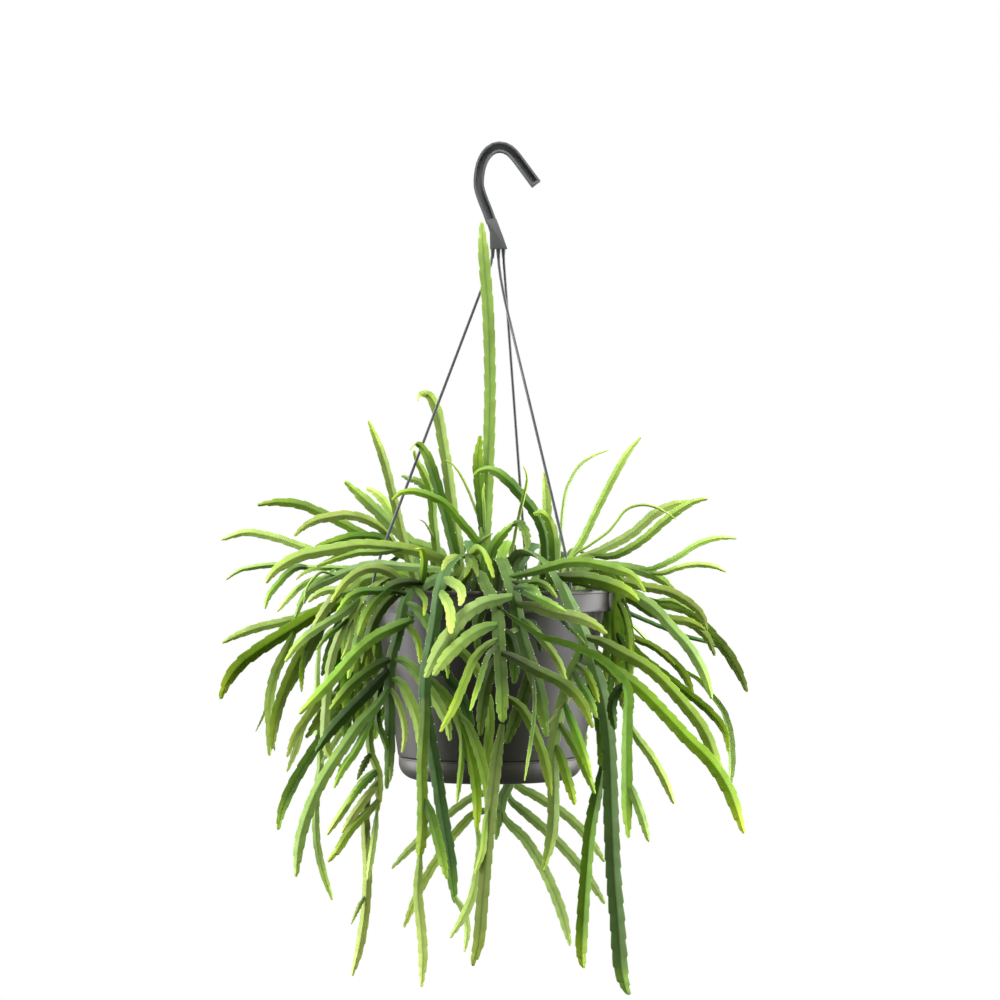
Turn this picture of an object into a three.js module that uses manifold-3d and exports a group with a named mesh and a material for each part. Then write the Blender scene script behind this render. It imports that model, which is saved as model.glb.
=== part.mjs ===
// A potted lepismium bolivianum in a hanging pot, in millimetres, +Z up.
// The origin is the seat of the hook, +X is the right of the photograph and +Y points away from it.
import * as THREE from "three";
import { mergeVertices } from "three/addons/utils/BufferGeometryUtils.js";
import Module from "manifold-3d";

const wasm = await Module();
wasm.setup();

// Driving dimensions
const rimRadius = 75;
const rimTop = -261.4;
const rimBand = 13;
const wallUnderRim = 69.9;
const wallAtFoot = 55.4;
const footLevel = -361.3;
const wallThickness = 1.3;
const trayRadius = 55;
const trayBottom = -375.4;
const trayCorner = 10;
const soilTop = -273.4;
const potCentre = new THREE.Vector2(-5, 0);
const clearance = 0.3;
const hookArm = 6.4;
const hookDepth = 6.4;
const hookBase = -57.9;
const strandWidth = 1.75;
const strandSeatRadius = 71.8;
const strandHoleWidth = 2.5;
const strandButton = 2.9;

// The photograph's scale: a stem's place there, with a depth, gives its place on the plant.
const mmPerPixel = 0.6;
const cameraDistance = 2000;
const cameraSide = 0.8;
const cameraLevel = -208.6;
const pictureMiddle = 500;

const tones = {
  dark: 0x33601f,
  grey: 0x54683a,
  sage: 0x7e9848,
  shade: 0x28401a,
  mid: 0x5c8f36,
  bright: 0x78a81f,
  pale: 0x9fbf6b,
  light: 0xb0cc7c,
  plastic: 0x6b6660,
  hook: 0x4a4e50,
  soil: 0x1d1712,
};

// Solids
function solidOf(geometry) {
  const bare = geometry.clone();
  bare.deleteAttribute("normal");
  bare.deleteAttribute("uv");
  const merged = mergeVertices(bare, 1e-4);
  return new wasm.Manifold(
    new wasm.Mesh({
      numProp: 3,
      vertProperties: merged.attributes.position.array,
      triVerts: new Uint32Array(merged.index.array),
    }),
  );
}

function geometryOf(solid) {
  const mesh = solid.getMesh();
  return new THREE.BufferGeometry()
    .setAttribute("position", new THREE.BufferAttribute(mesh.vertProperties, 3))
    .setIndex(new THREE.BufferAttribute(mesh.triVerts, 1));
}

function named(name, solid, colour, roughness = 0.5) {
  const geometry = geometryOf(solid);
  geometry.computeVertexNormals();
  const material = new THREE.MeshStandardMaterial({ color: colour, roughness, metalness: 0 });
  const mesh = new THREE.Mesh(geometry, material);
  mesh.name = name;
  return mesh;
}

// A body of revolution about the pot's axis, from a closed outline of [radius, height] points.
function turned(outline, segments) {
  const points = outline.map(([radius, height]) => new THREE.Vector2(radius, height));
  const geometry = new THREE.LatheGeometry(points, segments);
  geometry.rotateX(Math.PI / 2);
  geometry.translate(potCentre.x, potCentre.y, 0);
  return solidOf(geometry);
}

function upright(radius, low, high, x, y, sides = 16, topRadius = radius) {
  const geometry = new THREE.CylinderGeometry(topRadius, radius, high - low, sides);
  geometry.rotateX(Math.PI / 2);
  geometry.translate(x, y, (low + high) / 2);
  return solidOf(geometry);
}

// Points of a quarter round from one angle to another, in degrees.
function roundCorner(radius, height, size, from, to, steps) {
  const points = [];
  for (let i = 0; i <= steps; i++) {
    const angle = ((from + ((to - from) * i) / steps) * Math.PI) / 180;
    points.push([radius + size * Math.cos(angle), height + size * Math.sin(angle)]);
  }
  return points;
}

// Pot, drip tray and soil
const potSegments = 44;
const strandAngles = { strand_left: 194, strand_right: -49, strand_back: 72 };

function aroundPot(radius, degrees) {
  const angle = (degrees * Math.PI) / 180;
  return [potCentre.x + radius * Math.cos(angle), potCentre.y + radius * Math.sin(angle)];
}

const footRadius = trayRadius - wallThickness - clearance;
const footDepth = 3.2;
const floorUnder = footLevel - footDepth;
const floorThickness = 2 * wallThickness;

function pot() {
  const rimCorner = 1.2;
  const lip = wallThickness;
  let body = turned(
    [
      [0, floorUnder],
      [footRadius, floorUnder],
      [footRadius, footLevel],
      [wallAtFoot, footLevel],
      [wallUnderRim, rimTop - lip],
      [rimRadius - lip, rimTop - lip],
      [rimRadius - lip, rimTop - rimBand],
      [rimRadius, rimTop - rimBand],
      ...roundCorner(rimRadius - rimCorner, rimTop - rimCorner, rimCorner, 0, 90, 2),
      [wallUnderRim - wallThickness, rimTop],
      [footRadius - wallThickness, floorUnder + floorThickness],
      [0, floorUnder + floorThickness],
    ],
    potSegments,
  );
  const drainCount = 6;
  const drainRadius = 3;
  const drainCircle = 34;
  for (let i = 0; i < drainCount; i++) {
    const [x, y] = aroundPot(drainCircle, (360 * i) / drainCount);
    body = body.subtract(upright(drainRadius, floorUnder - 1, floorUnder + floorThickness + 1, x, y, 8));
  }
  for (const degrees of Object.values(strandAngles)) {
    const [x, y] = aroundPot(strandSeatRadius, degrees);
    body = body.subtract(upright(strandHoleWidth / 2, rimTop - 3, rimTop + 1, x, y, 12));
  }
  return body;
}

function dripTray() {
  const corner = trayCorner;
  const inner = trayCorner - wallThickness;
  return turned(
    [
      [0, trayBottom],
      ...roundCorner(trayRadius - corner, trayBottom + corner, corner, -90, 0, 4),
      [trayRadius, footLevel - clearance],
      [trayRadius - wallThickness, footLevel - clearance],
      ...roundCorner(trayRadius - corner, trayBottom + corner, inner, 0, -90, 4),
      [0, trayBottom + wallThickness],
    ],
    potSegments,
  );
}

function soil() {
  const floor = floorUnder + floorThickness + clearance;
  const wallShare = (soilTop - footLevel) / (rimTop - wallThickness - footLevel);
  const wallHere = wallAtFoot + (wallUnderRim - wallAtFoot) * wallShare;
  const topRadius = wallHere - 2 * wallThickness;
  const lowRadius = footRadius - wallThickness - 2 * clearance;
  return turned(
    [
      [0, floor],
      [lowRadius, floor],
      [topRadius, soilTop],
      [0, soilTop],
    ],
    32,
  );
}

// Hook: a flat moulded bar with a recess along each face, ending in a gusset over the strands.
const hookLine = [
  [22.6, -19.3],
  [14.9, -8.9],
  [10.4, -2.9],
  [6.7, 1],
  [1.6, 3.1],
  [-3.2, 2.3],
  [-7, -0.8],
  [-10, -6.2],
  [-11.6, -13.1],
  [-11.8, -20.8],
  [-9.5, -28.4],
  [-7, -34.6],
  [-4.3, -42],
];
const gusset = [
  [-8.9, -37],
  [-5.4, -48],
  [-5.2, hookBase],
  [5.2, hookBase],
  [2.4, -49.9],
  [-1.3, -40.2],
];

// A bar of the given width along the hook's line, between two shares of its length.
function hookBar(width, depth, from, to) {
  const line = new THREE.CatmullRomCurve3(hookLine.map(([x, z]) => new THREE.Vector3(x, z, 0)));
  const steps = 26;
  const sides = [[], []];
  for (let i = 0; i <= steps; i++) {
    const share = from + ((to - from) * i) / steps;
    const place = line.getPointAt(share);
    const along = line.getTangentAt(share);
    sides[0].push(new THREE.Vector2(place.x - (along.y * width) / 2, place.y + (along.x * width) / 2));
    sides[1].unshift(new THREE.Vector2(place.x + (along.y * width) / 2, place.y - (along.x * width) / 2));
  }
  return plate([...sides[0], ...sides[1]], depth, 0);
}

// A plate standing in the plane of the photograph, with its middle at the given depth.
function plate(outline, depth, y) {
  const points = outline.map((p) => (p.isVector2 ? p : new THREE.Vector2(...p)));
  const geometry = new THREE.ExtrudeGeometry(new THREE.Shape(points), { depth, bevelEnabled: false });
  geometry.rotateX(Math.PI / 2);
  geometry.translate(0, y + depth / 2, 0);
  return solidOf(geometry);
}

function hook() {
  const web = 2.6;
  const edge = 1.3;
  const far = 80;
  const body = hookBar(hookArm, hookDepth, 0, 1).add(plate(gusset, hookDepth, 0));
  const recess = hookBar(hookArm - 2 * edge, hookDepth, 0.02, 0.98);
  const middle = plate(
    [
      [-far, far],
      [far, far],
      [far, -far],
      [-far, -far],
    ],
    web,
    0,
  );
  return body.subtract(recess.subtract(middle));
}

// Strands: each leaves the hook's base as a neck, runs to the rim and ends in a button under it.
const strandTops = { strand_left: -3.6, strand_right: -0.2, strand_back: 2.9 };
const strandBend = { strand_left: [-5, -68, 0], strand_right: [2, -80, -1], strand_back: [3.5, -70, 2] };

function strand(name) {
  const [seatX, seatY] = aroundPot(strandSeatRadius, strandAngles[name]);
  const top = hookBase - clearance;
  const neckLength = 5.5;
  const neckRadii = [0.9, 1.4];
  const overRim = rimTop + 9;
  const throughRim = 3.6;
  const buttonHeight = [rimTop - 5.2, rimTop - 2.6];
  const [bendX, bendZ, bendY] = strandBend[name];
  const bend = new THREE.Vector3(bendX, bendY, bendZ);
  const nearRim = new THREE.Vector3(seatX, seatY, overRim);
  const route = new THREE.CatmullRomCurve3([
    new THREE.Vector3(strandTops[name], 0, top),
    new THREE.Vector3(strandTops[name], 0, top - neckLength),
    bend,
    bend.clone().lerp(nearRim, 0.5),
    new THREE.Vector3(seatX * 0.985 + bendX * 0.015, seatY * 0.985 + bendY * 0.015, overRim),
    new THREE.Vector3(seatX, seatY, rimTop + 2),
    new THREE.Vector3(seatX, seatY, rimTop - throughRim),
  ]);
  const section = new THREE.Shape();
  section.absarc(0, 0, strandWidth / 2, 0, 2 * Math.PI);
  const cord = new THREE.ExtrudeGeometry(section, { extrudePath: route, steps: 26, curveSegments: 4 });
  const neck = upright(neckRadii[0], top - neckLength, top, strandTops[name], 0, 10, neckRadii[1]);
  const button = upright(strandButton / 2, ...buttonHeight, seatX, seatY, 10);
  return solidOf(cord).add(neck).add(button);
}

// Stems. Points are [pixel x, pixel y, depth in mm]; a point with no depth takes one from its neighbours.
function stem(tone, width, ...points) {
  return { tone, width, points, out: 0, tip: "pointed", twist: [0, 0] };
}

// A side stem starts on the nearest stem of its shoot, and its tip is brought out from the pot.
function side(tone, width, out, ...points) {
  return { tone, width, points, out, tip: "pointed", twist: [0, 0], isSide: true };
}

function blunt(made) {
  return { ...made, tip: "blunt" };
}

function shortTipped(made) {
  return { ...made, tip: "short" };
}

function twisted(atBase, atTip, made) {
  return { ...made, twist: [atBase, atTip] };
}

// A shoot is rooted at [x, y] from the pot's axis and is laid toward the front or the back.
function shoot(name, laid, root, ...stems) {
  return { name, laid, root, stems };
}

const shoots = [
  // Upright shoots over the middle of the pot, from the back to the front
  shoot("shoot_upright_pale", "back", [-22, 20],
    stem("sage", 6.6, [459, 556, 16], [456, 530, 14], [452, 505, 12], [449, 482, 10], [446, 460, 8],
      [442, 437, 7], [438, 415, 6], [433, 401, 5], [427, 394, 4], [419, 395, 1], [418, 401, 0])),
  shoot("shoot_upright_left", "back", [-36, 12],
    stem("mid", 5.4, [436, 550, 9], [433, 520, 8], [432, 500, 7], [429, 485, 6], [423, 472, 5],
      [417, 461, 4], [414, 450, 3]),
    side("pale", 5.2, 3, [433, 500], [427, 489], [419, 482], [409, 478.5], [401, 475.6]),
    side("pale", 1.6, -6, [434, 540], [429, 529], [424, 522], [419, 519.5])),
  shoot("shoot_tall", "front", [-4, -3],
    stem("pale", 7, [484, 560, -4], [485, 535, -6], [487, 500, -7], [489, 440, -7], [490, 380, -6],
      [488, 310, -6], [485, 270, -6], [483, 245, -6], [481.5, 222, -5]),
    side("bright", 6.6, 5, [485, 545], [482, 510], [479, 480], [478, 458], [480.5, 435]),
    side("mid", 1.8, 12, [487, 535], [484, 505], [483, 493], [484.5, 483]),
    side("pale", 1.6, 2, [481, 535], [475, 508], [468, 490], [460, 474], [452, 464], [445, 460])),
  shoot("shoot_hooked", "front", [-24, -8],
    stem("dark", 6.4, [455, 556, -10], [450, 532, -11], [445, 512, -12], [439.5, 493, -13],
      [434, 475, -13], [428.5, 459, -13], [422, 447.5, -13], [416, 443.5, -14], [410, 450, -15])),
  shoot("shoot_high_arch", "front", [-10, -22],
    stem("bright", 5, [482, 552, -22], [475, 539, -23], [460, 521, -24], [445, 504, -24],
      [430, 496, -24], [415, 491.5, -23], [401, 493, -23], [392, 500, -24]),
    side("bright", 3, 12, [478, 544], [484, 539], [493, 533])),
  shoot("shoot_left_high", "back", [-43, 16],
    stem("sage", 5.4, [408, 556, 16], [402, 534, 15], [397, 512, 13], [392, 492, 11], [387, 472, 10],
      [381, 452, 9], [374, 434, 8], [368.5, 420.5, 8])),
  shoot("shoot_left_grey", "back", [-28, 30],
    stem("sage", 7.2, [440, 554, 25], [425, 547, 24], [412, 543, 23], [400, 533, 22], [388, 522, 21],
      [376, 510, 20], [364, 499, 19], [353, 489, 18], [344.5, 481, 17]),
    side("pale", 5.4, 14, [402, 535], [395, 520], [389, 509], [382, 499], [374, 492], [366, 488])),
  shoot("shoot_centre_arch", "front", [31, -22],
    stem("dark", 6.6, [546, 562, -24], [545, 538, -25], [541, 524, -26], [535, 513, -26],
      [521, 495, -27], [506, 479, -27], [492, 470, -26], [481, 470.5, -26], [473.5, 476, -26])),
  shoot("shoot_thin", "front", [13, -20],
    twisted(60, 20, stem("sage", 2.6, [511, 560, -20], [515, 535, -22], [519, 516, -27], [524, 495, -33],
      [527, 480, -35], [526, 472, -36], [523, 466, -36]))),
  shoot("shoot_short_arch", "front", [0, -24],
    stem("dark", 6.4, [490, 560, -26], [494, 546, -28], [505, 532, -30], [514, 523, -33]),
    side("pale", 5.6, 7, [513, 524], [519, 523], [525, 531], [527.5, 542], [525.5, 553])),
  shoot("shoot_short_hooked", "front", [30, -40],
    stem("dark", 6.6, [553, 572, -40], [554, 548, -41], [552, 530, -42], [547, 518, -43],
      [541, 513, -45], [533, 514, -47])),
  shoot("shoot_right_serrated", "back", [30, 12],
    stem("sage", 6, [544, 556, 13], [545, 530, 13], [547, 508, 13], [546, 490, 13], [544, 472, 13])),
  shoot("shoot_right_thin_tall", "back", [38, 2],
    twisted(50, 20, stem("sage", 2, [559, 556, 3], [561, 530, 4], [564, 500, 6], [568, 485, 8],
      [580, 465, 10], [595, 455, 12], [609, 450, 13]))),
  shoot("shoot_right_pale", "back", [42, 22],
    stem("pale", 4.6, [569, 562, 23], [582, 541, 26], [596, 512, 29], [607, 490, 31], [617, 471, 33],
      [629, 451, 36], [641, 437, 38])),
  shoot("shoot_right_thin_arch", "back", [46, 10],
    stem("pale", 1.7, [572, 558, 10], [590, 545, 11], [609, 531, 12], [617, 521, 13], [626, 510, 14],
      [640, 505, 15], [655, 507, 16], [667, 513, 16], [677, 520, 17])),
  shoot("shoot_right_high", "back", [52, 20],
    stem("sage", 5.8, [575, 562, 32], [600, 551, 36], [631, 534, 41], [656, 513, 45], [674, 504.5, 48],
      [693, 501, 50]),
    side("pale", 5.2, -10, [590, 556], [612, 556], [629.5, 548.5], [647, 536.5], [662, 523], [679, 510],
      [694.5, 501.5], [708, 498.5])),

  // Shoots that arch to the left
  shoot("shoot_left_back", "back", [-46, 30],
    stem("mid", 5.8, [412, 562, 30], [396, 551, 30], [378, 541, 30], [358, 532, 30], [340, 522, 31],
      [320, 512.5, 32], [300, 504.5, 33], [278, 502.2, 34], [257, 505, 35]),
    side("pale", 5.8, -12, [398, 552], [385, 531], [365, 519], [345, 515], [330, 517], [318, 519.5],
      [305, 526], [294, 536]),
    side("pale", 5, 8, [376, 541], [345, 550], [318, 551.5], [300, 546], [280, 539], [260, 534],
      [245, 532.5], [221, 540]),
    side("mid", 5.6, -14, [400, 554], [380, 538], [365, 536], [350, 537], [335, 541], [315, 546.5])),
  shoot("shoot_left_long", "front", [-32, -18],
    stem("pale", 7, [455, 568, -18], [435, 557, -20], [418, 551.5, -21], [400, 548, -22],
      [380, 546, -23], [360, 545, -24], [340, 548, -26], [320, 551.5, -28], [300, 556, -30],
      [277, 569, -32], [265.5, 583, -33]),
    side("mid", 4.4, 6, [402, 550], [380, 552], [360, 552.5], [345, 556], [330, 561], [316.5, 566.5])),
  shoot("shoot_left_thin", "front", [-48, -6],
    stem("pale", 3.4, [402, 578, -6], [370, 570, -7], [340, 568, -9], [310, 567.5, -10],
      [275, 565, -12], [255, 567, -13], [240, 570.5, -14], [226, 579.5, -14]),
    side("mid", 4.6, 10, [312, 568], [298, 567], [288, 573], [279, 583], [270, 594], [266, 604],
      [265, 609]),
    side("pale", 3.6, 16, [324, 569], [312, 569.5], [303, 573.5], [296, 580]),
    side("pale", 4, 20, [338, 570], [325, 577], [312, 580], [300, 587], [290, 597], [277, 612])),
  shoot("shoot_left_arch", "front", [-40, -26],
    stem("sage", 5.8, [444, 572, -28], [425, 568.5, -32], [400, 566.5, -36], [375, 564.5, -39],
      [355, 569, -41], [335, 577, -43], [320, 584, -44], [308, 592, -45], [301, 603, -46],
      [295, 618, -47]),
    side("pale", 1.7, 5, [335, 576], [322, 572], [313, 579], [307, 588], [303.5, 604]),
    side("pale", 5, 14, [366, 567], [350, 587], [338, 589.5], [325, 591], [315, 596], [308, 602])),
  shoot("shoot_left_wide", "back", [-40, 36],
    stem("bright", 8.4, [404, 576, 38], [385, 582, 40], [366, 592, 41], [340, 602, 42], [315, 614, 43],
      [296, 626, 44], [278, 637, 45], [258, 650, 46], [240, 664, 47], [228, 680, 48], [220, 699, 48]),
    side("pale", 5.6, 8, [335, 605], [320, 609], [300, 617], [280, 622.5], [260, 627], [240, 634],
      [222, 643]),
    side("light", 6.4, 10, [296, 626], [286, 650], [275, 673], [269.5, 700], [270, 724], [269.5, 756]),
    side("bright", 7.2, -9, [325, 612], [312, 635], [296, 663], [282, 696], [275.5, 719], [272, 749]),
    side("bright", 3.8, -6, [306, 648], [302, 668], [301.5, 692]),
    side("pale", 2, 8, [268, 695], [264, 714], [255.5, 732]),
    side("bright", 3, 4, [270, 725], [272, 738], [275, 751]),
    side("mid", 7, 4, [330, 608], [320, 630], [307, 655], [292, 680], [282, 702]),
    side("shade", 6, -5, [352, 598], [340, 622], [330, 650], [322, 676])),
  shoot("shoot_left_under", "back", [-32, 46],
    stem("dark", 6.8, [412, 578, 52], [394, 583, 58], [378, 606, 60], [362, 642, 58], [350, 688, 55],
      [335, 712, 54], [321, 738, 53], [304.5, 764, 52], [292.5, 785, 52], [282, 810, 52], [278, 830, 52]),
    side("mid", 5.6, -6, [352, 680], [338, 676], [324, 690], [308, 716], [295, 736], [287, 757]),
    side("pale", 4.6, 8, [345, 697], [332, 694], [322, 701], [304, 724], [296, 749], [287, 772]),
    twisted(75, 10, side("sage", 4.8, 14, [364, 632], [340, 625], [322, 640], [318, 665], [318, 734],
      [320.5, 760], [316, 800], [317, 843], [324, 875], [332.5, 900])),
    side("pale", 4, -8, [348, 694], [350, 716], [336, 740], [321, 764]),
    side("dark", 7, 4, [362, 642], [352, 668], [338, 694], [322, 716], [306, 738]),
    side("dark", 6.4, -5, [380, 604], [380, 632], [379, 664], [376, 694], [369, 722])),
  shoot("shoot_left_grey_fall", "front", [-53, -22],
    stem("sage", 6.4, [390, 579, -32], [376, 584, -37], [362, 598, -40], [348, 619, -41],
      [338, 640, -42], [331.5, 660, -42], [328, 685, -43], [326, 709, -43], [325, 734, -44],
      [328, 752, -44], [341, 767, -45]),
    side("sage", 5.6, 12, [366, 599], [345, 612], [325, 624], [307, 636], [295, 648], [285, 662]),
    side("sage", 6.4, -8, [362, 601], [340, 592], [330, 603], [321, 616], [312, 630]),
    side("mid", 5.8, 26, [376, 592], [369, 603], [363, 617], [359, 633], [355, 652], [348, 679]),
    side("sage", 3.8, 6, [353, 612], [351.5, 630], [348, 646], [341, 660]),
    side("mid", 3.4, 5, [350, 616], [340, 626], [326, 638], [316, 650])),

  // Shoots that arch to the right
  shoot("shoot_right_back", "back", [36, 46],
    stem("sage", 6.4, [565, 572, 42], [590, 566, 47], [620, 567, 52], [645, 572, 56], [662, 580, 58],
      [677, 594, 60]),
    side("pale", 3.8, 10, [628, 568], [649, 569.4], [676, 558], [697, 544.5], [718, 538], [737, 538.4]),
    side("light", 3.6, -8, [650, 574], [663, 573], [676, 568.4], [695, 564.6], [714, 566.5],
      [726.5, 572])),
  shoot("shoot_right_wide", "back", [52, -8],
    stem("pale", 7.4, [588, 580, -8], [608, 581, -7], [624, 588, -7], [642, 598, -6], [665, 605, -4],
      [690, 612, -2], [709, 631, 0], [725.5, 650, 2], [735.5, 666, 3], [742.5, 680, 4], [747, 692, 4]),
    side("pale", 6, -8, [602, 583], [622, 581], [641, 586], [670, 592], [691, 604], [702.5, 616],
      [707, 630]),
    side("pale", 3.8, -12, [655, 602], [672, 601], [685, 607], [695, 613]),
    side("pale", 5.8, 8, [640, 600], [662, 616], [690, 623], [706, 636], [715, 656]),
    side("pale", 6, 3, [622, 587], [636, 602], [652, 613], [670, 619], [690, 622], [706, 630])),
  shoot("shoot_right_grey", "front", [43, -32],
    stem("sage", 6.6, [570, 584, -38], [600, 586, -44], [622, 590, -48], [638, 597, -51],
      [655, 609, -54], [670, 626, -56], [690, 649, -58], [704, 674, -59], [712, 699, -60])),
  shoot("shoot_right_under", "back", [46, 34],
    stem("grey", 2.8, [586, 574, 35], [598, 576, 37], [608, 583, 38], [616, 596, 39], [627, 611, 39],
      [645, 620, 40], [668, 629.5, 41], [688, 637, 42], [707, 642, 43], [728, 652.5, 44]),
    twisted(75, 10, side("pale", 6, 12, [618, 602], [627, 619], [640, 633], [660, 653], [680, 668],
      [700, 681], [712, 695], [723.5, 711], [730, 732], [732, 764], [730, 787])),
    side("mid", 5.4, -6, [655, 648], [668, 657], [681, 670], [689, 684], [693, 695]),
    side("bright", 5.6, -12, [620, 605], [623, 626], [631, 645], [645, 660], [665, 675], [690, 695],
      [710, 712], [724, 730], [728.5, 752]),
    side("mid", 4.6, -10, [622, 618], [632, 636], [654, 647], [675, 665]),
    side("dark", 7, 6, [598, 576], [607, 600], [609, 622], [606, 648]),
    side("dark", 6, 9, [608, 583], [628, 598], [644, 606], [660, 612])),

  // Shoots that fall in front of the pot
  shoot("shoot_front_long", "front", [14, -36],
    shortTipped(stem("grey", 9, [512, 566, -38], [521, 553, -45], [535, 555, -52], [548, 565, -60],
      [559, 581, -68], [568, 600, -71], [576, 617, -74], [589, 652, -78], [601.5, 695, -80],
      [608, 737, -80], [611, 811, -78], [613.5, 872, -76], [617.5, 923, -74], [621.5, 972, -73],
      [628, 997, -73])),
    side("dark", 7.6, 8, [558, 578], [566, 577], [584, 577.5], [607, 583], [626, 591], [639, 601]),
    blunt(side("dark", 6, -12, [588, 650], [593, 690], [599, 720], [602, 745], [602.5, 772])),
    shortTipped(side("bright", 7.4, 2, [602.5, 764], [599.5, 782], [595, 802], [590, 830], [586, 872],
      [583, 913], [581.5, 954], [583, 970])),
    side("mid", 7, 8, [586, 645], [578, 657], [568, 684], [559, 716], [553.5, 747], [553.5, 789],
      [552.5, 828], [547, 856], [542, 871]),
    side("bright", 5, 8, [577, 660], [584, 670], [593, 686], [599, 703]),
    side("dark", 4.8, 14, [573, 671], [580, 683], [589, 698], [597, 718]),
    side("sage", 2.4, 8, [565, 694], [566, 699], [557, 712], [547, 725]),
    side("bright", 5.2, 10, [563, 701], [567, 710], [577, 735], [585, 758], [591, 777]),
    side("mid", 5, 5, [558, 718], [567, 735], [577, 752], [587, 774], [595, 794]),
    side("bright", 5.8, 6, [555, 742], [560.5, 756], [567.5, 779], [575, 805]),
    side("bright", 7.2, 14, [583, 634], [600, 641], [618, 650.5], [650, 669], [681.5, 701], [704.5, 732],
      [717, 765], [727, 789]),
    side("bright", 7.8, 22, [591, 655], [603, 664], [635, 685], [660, 709], [687, 738], [710, 761],
      [728, 789], [744, 833.5])),
  shoot("shoot_front_right", "front", [4, -48],
    stem("grey", 7.6, [500, 560, -52], [503, 563, -62], [509, 579, -80], [514, 595, -88],
      [517, 612, -87], [520, 630, -84], [526, 650, -83], [533, 672, -84], [540, 695, -85],
      [547, 737, -87]),
    side("mid", 5.6, 26, [512, 577], [530, 572.5], [548, 567.5], [565, 563], [582, 562], [600, 565],
      [618, 570], [634, 577], [645, 592]),
    side("dark", 3.8, 14, [514, 584], [525, 583], [538, 582], [548, 587], [557, 598]),
    side("dark", 4.4, 20, [515, 589], [526, 587], [536, 590], [541, 598]),
    side("mid", 5, 14, [516, 590], [530, 594], [545, 601], [566, 612]),
    side("sage", 6.6, 20, [517, 601], [535, 607], [551, 612.5], [576, 617], [595, 625], [607, 634]),
    side("dark", 2.4, 5, [556, 613.5], [568, 627], [579, 637], [586, 644]),
    side("sage", 4.8, 8, [518, 617], [526, 622], [540, 637], [552, 652], [561, 668], [567, 685]),
    side("pale", 8, 20, [514, 594], [500, 599], [484, 603], [466, 614], [455, 627], [445, 640],
      [436, 655], [425, 678]),
    side("sage", 3.6, 8, [519, 626], [513, 631], [506, 640]),
    side("shade", 7.6, -8, [529, 648], [532, 664], [528, 684], [520, 706], [512, 728], [506, 744]),
    side("shade", 6, -5, [522, 618], [531, 624], [538, 634], [541, 652]),
    side("mid", 4.4, 2, [534, 690], [538, 706], [542, 721], [546, 737])),
  shoot("shoot_front_middle", "front", [-9, -53],
    blunt(stem("grey", 7.2, [480, 572, -58], [484, 582, -69], [490, 593, -79], [496, 605, -84],
      [498.5, 620, -88], [499, 640, -92], [500.5, 663, -94], [502, 690, -95], [502, 724, -96])),
    shortTipped(side("sage", 7, 6, [502, 721], [500.5, 735], [497, 755], [493, 790], [491, 808],
      [487, 850], [482, 905], [478, 945], [471, 967])),
    side("pale", 3.8, 3, [492, 800], [486, 822], [483, 850], [475, 874]),
    side("shade", 6.4, -3, [494, 600], [486, 604], [480, 614], [477, 630], [477, 650]),
    side("shade", 6.4, -8, [499, 630], [508, 634], [513, 646], [515, 664], [514, 684]),
    side("shade", 6.4, -8, [501, 655], [492, 668], [486, 688], [482, 712], [480, 736]),
    side("mid", 5.6, -4, [503, 695], [512, 700], [523, 710], [536, 736], [545, 762], [551, 796]),
    side("pale", 7.2, 16, [499, 622], [487, 627], [474, 633], [460, 644], [447, 657], [433, 676]),
    side("mid", 4.8, 22, [499, 637], [487, 645], [474, 659], [466, 678], [454, 707], [440, 732]),
    side("mid", 3.2, 28, [499, 645], [490, 652], [480, 680], [470, 711]),
    side("dark", 6.6, 18, [500, 650], [510, 656], [534, 669], [563.5, 684], [580.5, 701], [593, 728]),
    side("bright", 2.2, 9, [530, 667], [534, 684], [534, 718], [530, 747], [524.5, 781]),
    twisted(78, 4, side("bright", 6.6, 26, [499, 607], [510, 616], [522, 624], [540, 636], [562, 642],
      [580, 648.5], [600, 658], [617, 673], [628, 690], [628, 712], [627, 745], [627, 779], [627, 811],
      [628.5, 838])),
    side("pale", 5, 5, [628, 782], [633, 793], [641, 815], [649, 842]),
    side("pale", 5.2, -10, [627, 722], [636, 736], [652, 758], [665, 781.5], [674, 804]),
    side("shade", 5.8, -14, [624, 682], [618, 690], [612, 705], [615, 730])),
  shoot("shoot_front_left_long", "front", [-14, -38],
    stem("grey", 7.2, [476, 571, -39], [470, 557, -42], [459, 557, -50], [449, 566, -63],
      [442, 580, -77], [438, 597, -82], [436, 615, -83], [432, 640, -83], [427, 665, -82],
      [425, 700, -82], [430, 735, -82], [436, 770, -82], [442, 811, -80], [449, 852, -78],
      [455, 903, -76]),
    side("light", 3.6, 5, [454, 897], [460, 905], [466, 918], [467.5, 932], [464.5, 952]),
    blunt(side("bright", 6.4, 8, [426, 690], [425, 715], [422, 765], [422.5, 800], [422, 835],
      [419.5, 858])),
    side("light", 5.8, 2, [419.5, 854], [419, 870], [418, 895], [421, 925], [423, 955], [421.5, 987]),
    side("mid", 5.8, 6, [422.5, 795], [430, 812], [438, 840], [447, 879]),
    side("bright", 6, 8, [427, 674], [441, 690], [454, 709], [463, 731], [471, 758], [476.5, 791],
      [477, 833]),
    side("mid", 5.6, 10, [455, 711], [466, 722], [477, 747], [486, 779], [490, 810], [489.5, 841]),
    side("pale", 5, 3, [476, 826], [480, 845], [478, 870], [471, 900], [462, 919], [450, 938]),
    side("shade", 6.2, -5, [429, 652], [445, 672], [461, 696], [469, 721], [470, 748]),
    side("shade", 6.4, -4, [437, 606], [446, 608], [455, 616], [459, 632], [460, 650]),
    side("mid", 3.4, 4, [454, 709], [461, 730], [462, 755], [459.5, 782], [457, 803]),
    side("bright", 5.4, 4, [434, 628], [448, 640], [461, 651], [474, 665], [483, 682], [488.5, 702],
      [490, 722], [487, 752], [482, 775], [475.5, 794]),
    side("mid", 4, 6, [433, 636], [444, 655], [447, 667], [448, 679]),
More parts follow.
